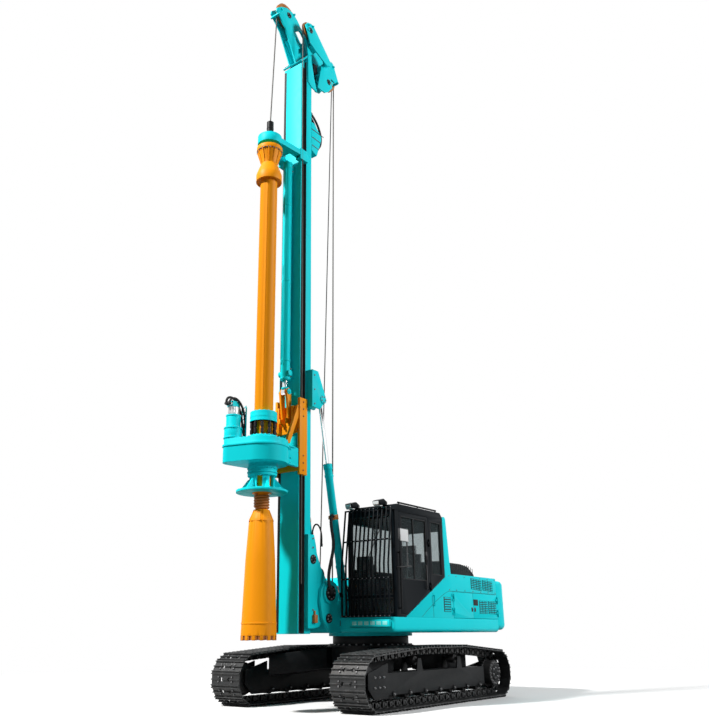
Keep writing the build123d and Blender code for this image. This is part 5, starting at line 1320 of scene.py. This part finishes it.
def swept(name, points, radius, kind="POLY", resolution=3, capped=True):
    """A round bar swept along a line of points, smooth where its kind is NURBS."""
    line = bpy.data.curves.new(name, "CURVE")
    line.dimensions = "3D"
    line.bevel_depth = radius
    line.bevel_resolution = resolution
    line.resolution_u = 8
    line.use_fill_caps = capped
    spline = line.splines.new(kind)
    spline.points.add(len(points) - 1)
    for node, place in zip(spline.points, points):
        node.co = (*place, 1)
    if kind == "NURBS":
        spline.order_u = 4
        spline.use_endpoint_u = True
    holder = bpy.data.objects.new(name, line)
    scene.collection.objects.link(holder)
    return evaluated(name, holder)


def hose(name, points, radius, material, body, fittings=0.0):
    """A plumbed hose between two fittings, round in section, along a smooth line."""
    mesh = swept(name, points, radius, "NURBS", 4)
    if fittings:
        shape = bmesh.new()
        shape.from_mesh(mesh)
        for start, after in ((points[0], points[1]), (points[-1], points[-2])):
            way = (Vector(after) - Vector(start)).normalized()
            add_bar(shape, Vector(start) - way * 0.004, Vector(start) + way * fittings, radius * 1.35, 16)
        mesh = as_mesh(name, shape)
    return shown(name, mesh, material, body, 45)


hose("motor_hose_front", [at(3.350, -0.350, 4.520), at(3.385, -0.350, 4.525), at(3.395, -0.345, 4.600),
                          at(3.320, -0.330, 4.650), at(3.220, -0.305, 4.610), at(3.150, -0.280, 4.480),
                          at(3.120, -0.250, 4.280), at(3.110, -0.220, 4.100), at(3.105, -0.200, 3.955)],
     0.020, rubber, "rotary_head", 0.05)
hose("motor_hose_rear", [at(3.350, -0.290, 4.520), at(3.380, -0.288, 4.525), at(3.370, -0.280, 4.590),
                         at(3.280, -0.260, 4.630), at(3.190, -0.235, 4.570), at(3.120, -0.210, 4.430),
                         at(3.080, -0.210, 4.240), at(3.060, -0.240, 4.080), at(3.050, -0.250, 3.955)],
     0.018, rubber, "rotary_head", 0.05)
hose("gearbox_hose", [at(2.640, -0.300, 3.955), at(2.630, -0.300, 4.080), at(2.560, -0.290, 4.160),
                      at(2.460, -0.270, 4.180), at(2.370, -0.262, 4.180), at(2.300, -0.262, 4.180)],
     0.016, rubber, "rotary_head", 0.04)

# Pressure hoses: one from each tilt cylinder's clamp to the hinge, a short loop behind the
# mast's foot, and two on the hose guide.
for hand, name in ((1, "left"), (-1, "right")):
    ends = [at(1.500, hand * 0.320, 2.900), at(1.590, hand * 0.345, 2.860), at(1.580, hand * 0.365, 2.640),
            at(1.520, hand * 0.375, 2.430), at(1.640, hand * 0.388, 2.160), at(1.730, hand * 0.395, 1.920),
            at(1.700, hand * 0.398, 1.760), at(1.625, hand * 0.398, 1.690)]
    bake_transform(hose(f"tilt_hose_{name}", ends, 0.026, rubber, None, 0.05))
hose("mast_foot_hose", [at(1.930, 0.236, 2.560), at(1.925, 0.250, 2.700), at(1.850, 0.262, 2.760),
                        at(1.760, 0.270, 2.700), at(1.720, 0.275, 2.560), at(1.740, 0.280, 2.400)],
     0.013, rubber, "mast", 0.04)
for y, reach in ((0.120, 0.0), (0.170, 0.030)):
    run = ((1.800, 10.560), (1.640, 10.360), (1.600, 10.120), (1.700, 9.900))
    points = [at(1.930, y, 10.620), *(at(x - reach, y, z) for x, z in run), at(1.930, y, 9.780)]
    hose(f"guide_hose_{int(y * 1000)}", points, 0.022, rubber, "mast", 0.04)

# The buffer ring: two flanges over ten black posts round the kelly.
buffer_piece = rounded("kelly_buffer", 0.0, cyan, "sleeve")
buffer_piece.data.materials.append(rubber)
for face in buffer_piece.data.polygons:
    face.material_index = int(4.025 < face.center.z < 4.245)
ring_shape = lathe("buffer_ring", [
    (0.156, 4.250), (0.217, 4.250), (0.217, 4.276), (0.205, 4.282), (0.205, 4.306), (0.217, 4.312),
    (0.217, 4.346), (0.200, 4.352), (0.200, 4.378), (0.214, 4.384), (0.214, 4.411), (0.156, 4.411),
    (0.156, 4.250)])
ring_shape.transform(Matrix.Translation(at(kelly_x, 0, 0)))
shown("buffer_ring", ring_shape, cyan, "sleeve")
foot_shape = lathe("buffer_foot", [
    (0.157, 3.9905), (0.229, 3.9905), (0.229, 4.016), (0.222, 4.021), (0.157, 4.021), (0.157, 3.9905)])
foot_shape.transform(Matrix.Translation(at(kelly_x, 0, 0)))
shown("buffer_foot", foot_shape, cyan, "sleeve")
buffer_bolts = ring_seeds(at(kelly_x, 0, 4.410), (0, 0, 1), 0.190, 16)
buffer_bolts += ring_seeds(at(kelly_x, 0, 4.020), (0, 0, 1), 0.212, 20, 0.1)
repeated("buffer_bolts", bolt_mesh(0.018), buffer_bolts, cyan, "sleeve")
post_shape = lathe("post", [
    (0.0, 4.018), (0.0175, 4.018), (0.0175, 4.040), (0.026, 4.052), (0.026, 4.118), (0.018, 4.128),
    (0.018, 4.140), (0.026, 4.152), (0.026, 4.218), (0.018, 4.230), (0.018, 4.252), (0.0, 4.252)], 20)
posts = [(at(kelly_x, 0, 0) + out * 0.189, up, (1, 0, 0)) for out, cross in around(10)]
repeated("buffer_posts", post_shape, posts, rubber, "sleeve")

carriage_bolts = []
for hand in (1, -1):
    for z in (3.56, 3.68, 3.80, 4.46, 4.58, 4.70):
        carriage_bolts.append((at(2.205, hand * 0.2675, z), (0, hand, 0), (1, 0, 0)))
    for z in (3.60, 3.84, 4.22, 4.60):
        carriage_bolts.append((at(2.300, hand * 0.235, z), (1, 0, 0), (0, 1, 0)))
repeated("carriage_bolts", bolt_mesh(0.022), carriage_bolts, darker_orange_partly_painted_shade, "rotary_head")
brace_shape = bmesh.new()
for hand in (1, -1):
    y = hand * 0.150
    add_box(brace_shape, at(2.302, y - 0.016, 4.190), at(2.360, y + 0.016, 4.630))
    add_box(brace_shape, at(2.302, hand * 0.052, 4.340), at(2.420, hand * 0.084, 4.420))
built("carriage_braces", brace_shape, orange, "rotary_head", 0.004)
eye_shape = bmesh.new()
crowd_eye_z = 4.880
for hand in (1, -1):
    for inner, outer, radius, sides in ((0.086, 0.100, 0.050, 32), (0.098, 0.112, 0.026, 6)):
        add_bar(eye_shape, at(crowd_x, hand * inner, crowd_eye_z), at(crowd_x, hand * outer, crowd_eye_z),
                radius, sides)
add_post(eye_shape, at(crowd_x, 0, crowd_eye_z + 0.050), 0.030, 0.060, 32)
built("crowd_eye_cover", eye_shape, cyan, "rotary_head", 0.003)

# ---- kelly ----------------------------------------------------------------------------------
# The kelly is a stack of nested orange tubes that hangs by a flanged head. A spring on its
# lowest stub takes the shock of the bucket.
rounded("kelly_guide", 0.006, cyan, "kelly_head", 2)
rounded("kelly_bar", 0.003, orange, "kelly", 2)
gusset_shape = bmesh.new()
kelly_axis = at(kelly_x, 0, 0)
for out, cross in around(12, 0.13):
    for corners in (((0.150, 9.015), (0.226, 9.262), (0.226, 9.272), (0.160, 9.272)),
                    ((0.150, 8.998), (0.224, 8.792), (0.224, 8.782), (0.160, 8.782))):
        edge_line = [kelly_axis + out * radius + up * z for radius, z in corners]
        add_prism(gusset_shape, *([place + cross * side for place in edge_line] for side in (-0.007, 0.007)))
built("kelly_gussets", gusset_shape, orange, "kelly", 0.002)
kelly_bolts = ring_seeds(at(kelly_x, 0, 9.270), (0, 0, -1), 0.218, 24)
repeated("kelly_head_bolts", bolt_mesh(0.022), kelly_bolts, bolt_steel, "kelly")
keys = bmesh.new()
key_length = 5.30
for out, cross in around(3, 0.5):
    start = at(kelly_x, 0, 3.30) + out * 0.1485
    corners = [start + cross * side + out * reach
               for side, reach in ((-0.018, 0), (-0.018, 0.004), (0.018, 0.004), (0.018, 0))]
    add_prism(keys, corners, [place + up * key_length for place in corners])
built("kelly_keys", keys, orange, "kelly")
rounded("rope_swivel", 0.0, black, "kelly_head")
swivel_shape = lathe("swivel_bands", [
    (0.0, 9.592), (0.064, 9.592), (0.064, 9.640), (0.060, 9.648), (0.060, 9.760), (0.064, 9.768),
    (0.064, 9.800), (0.058, 9.812), (0.058, 9.900), (0.046, 9.921), (0.0, 9.921)], 40)
swivel_shape.transform(Matrix.Translation(at(kelly_x, 0, 0)))
shown("swivel_bands", swivel_shape, black, "kelly_head")
guide_seeds = ring_seeds(at(kelly_x, 0, 9.590), (0, 0, 1), 0.190, 16)
repeated("guide_bolts", bolt_mesh(0.020), guide_seeds, cyan, "kelly_head")

coil_count = 5
coil_low, coil_high = 2.872, 3.126
coil_steps = coil_count * 32
coil_rise = (coil_high - coil_low - 0.040) / coil_steps
coil_points = []
for number in range(coil_steps + 1):
    turn = 2 * pi * number / 32
    z = coil_low + 0.020 + coil_rise * number
    coil_points.append(at(kelly_x + 0.104 * cos(turn), 0.104 * sin(turn), z))
shown("kelly_spring", swept("kelly_spring", coil_points, 0.019), darker_orange_partly_painted_shade, "kelly", 60)

# ---- drilling bucket ------------------------------------------------------------------------
# The drilling bucket is a slightly tapered steel drum with a faceted shoulder. Its rim carries
# a ring of cutting teeth, and a narrow welded band runs above it.
rounded("drilling_bucket", 0.004, orange, "kelly", 2)
bucket_shape = bmesh.new()
shoulder = ((0.190, 0.085, 2.690), (0.122, 0.050, 2.866), (0.104, 0.046, 2.866), (0.150, 0.080, 2.690))
for out, cross in around(6, 0.25):
    add_prism(bucket_shape, *([at(kelly_x, 0, z) + out * reach + cross * side * half
                               for reach, half, z in shoulder] for side in (-1, 1)))
built("bucket_shoulder_plates", bucket_shape, orange, "kelly", 0.004)
bands = lathe("bucket_bands", [
    (0.252, 1.234), (0.2610, 1.230), (0.2615, 1.210), (0.253, 1.206), (0.252, 1.234)], 96)
bands.transform(Matrix.Translation(at(kelly_x, 0, 0)))
shown("bucket_band", bands, orange, "kelly")
teeth_shape = bmesh.new()
add_box(teeth_shape, (-0.012, -0.016, -0.062), (0.010, 0.016, 0.0))
tooth = as_mesh("tooth", teeth_shape)
tooth_seeds = [(at(kelly_x, 0, 1.052) + out * 0.247, up, out) for out, cross in around(28, pi / 28)]
repeated("bucket_teeth", tooth, tooth_seeds, darker_orange_partly_painted_shade, "kelly")

# ---- ropes ----------------------------------------------------------------------------------
# Two steel wire ropes run from the winches over the head. The main one comes down to the
# swivel over the kelly, and the service rope turns back down beside the mast.
def taut(name, start, end, radius=rope_radius):
    """A taut rope between two tangent points, with vertices at its ends only."""
    shape = bmesh.new()
    add_bar(shape, start, end, radius, 12)
    return shown(name, as_mesh(name, shape), rope_steel, None, 40)


def in_plane(point, y=0.0):
    """A point given in side view as (x, z), at a width y."""
    return at(point[0], y, point[1])


def over(name, start, end, centre, radius, y=0.0):
    """A rope lying on a sheave's groove from one tangent point's angle to another's."""
    count = 24
    turns = [start + (end - start) * number / count for number in range(count + 1)]
    points = [in_plane(centre + Vector((cos(turn), sin(turn))) * radius, y) for turn in turns]
    return shown(name, swept(name, points, rope_radius, capped=False), rope_steel, "mast", 60)


def outer_tangent(first, second, first_radius, second_radius):
    """The touching points, on top of two wheels in side view, and the angle they stand at."""
    way = Vector(second) - Vector(first)
    turn = atan2(way.y, way.x) - acos((first_radius - second_radius) / way.length)
    normal = Vector((cos(turn), sin(turn)))
    return Vector(first) + normal * first_radius, Vector(second) + normal * second_radius, turn


def point_tangent(centre, radius, far, side):
    """Where a line from a far point touches a wheel in side view, and the angle there."""
    way = Vector(far) - Vector(centre)
    turn = atan2(way.y, way.x) + side * acos(radius / way.length)
    return Vector(centre) + Vector((cos(turn), sin(turn))) * radius, turn


front_groove, rear_groove, service_groove = 0.260, 0.225, 0.175
service_front_y, service_rear_y = 0.262, 0.165
kelly_eye = Vector((kelly_x, 9.905))
main_drum, service_drum = Vector((0.900, 1.690)), Vector((1.700, 1.960))
drum_reach = 0.190

kelly_touch, kelly_turn = point_tangent(main_front, front_groove, kelly_eye, 1)
front_touch, rear_touch, top_turn = outer_tangent(main_front, main_rear, front_groove, rear_groove)

# The kelly's rope crosses two slides, so it is drawn as an upper and a lower length that meet
# at a point on the rotary head.
kelly_low, kelly_high = in_plane(kelly_eye), in_plane(kelly_touch)
meeting = kelly_low.lerp(kelly_high, 0.85)
for name, low, high, upper_body, lower_body in (
        ("kelly_rope_upper", meeting, kelly_high, "mast", "rotary_head"),
        ("kelly_rope_lower", kelly_low, meeting, "rotary_head", "kelly_head")):
    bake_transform(taut(name, low, high))
over("kelly_rope_bend", kelly_turn, top_turn, main_front, front_groove)
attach(taut("main_rope_top", in_plane(front_touch), in_plane(rear_touch)), "mast")
drum_face = Vector((main_drum.x + drum_reach, main_drum.y))
rear_leave, rear_turn = point_tangent(main_rear, rear_groove, drum_face, -1)
over("main_rope_bend", top_turn, rear_turn % (2 * pi), main_rear, rear_groove)
back_low, back_high = in_plane(drum_face), in_plane(rear_leave)
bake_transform(taut("main_rope_back", back_low, back_high))

# The service rope passes its two sheaves on the mast's left, and its hook is pinned to the
# mast's foot plate.
hook_eye = Vector((2.215, 1.800))
hook_touch, hook_turn = point_tangent(service_front, service_groove, hook_eye, 1)
ahead_touch, behind_touch, over_turn = outer_tangent(service_front, service_rear, service_groove,
                                                     service_groove)
winch_face = Vector((service_drum.x - 0.130, service_drum.y))
winch_leave, winch_turn = point_tangent(service_rear, service_groove, winch_face, -1)
for name, low, high in (
        ("service_rope_front", in_plane(hook_eye, 0.250), in_plane(hook_touch, service_front_y)),
        ("service_rope_top", in_plane(ahead_touch, service_front_y), in_plane(behind_touch, service_rear_y)),
        ("service_rope_back", in_plane(winch_face, 0.110), in_plane(winch_leave, service_rear_y))):
    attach(taut(name, low, high, rope_radius * 0.8), "mast")
over("service_rope_bend", hook_turn, over_turn, service_front, service_groove, service_front_y)
over("service_rope_turn", over_turn, winch_turn % (2 * pi), service_rear, service_groove, service_rear_y)
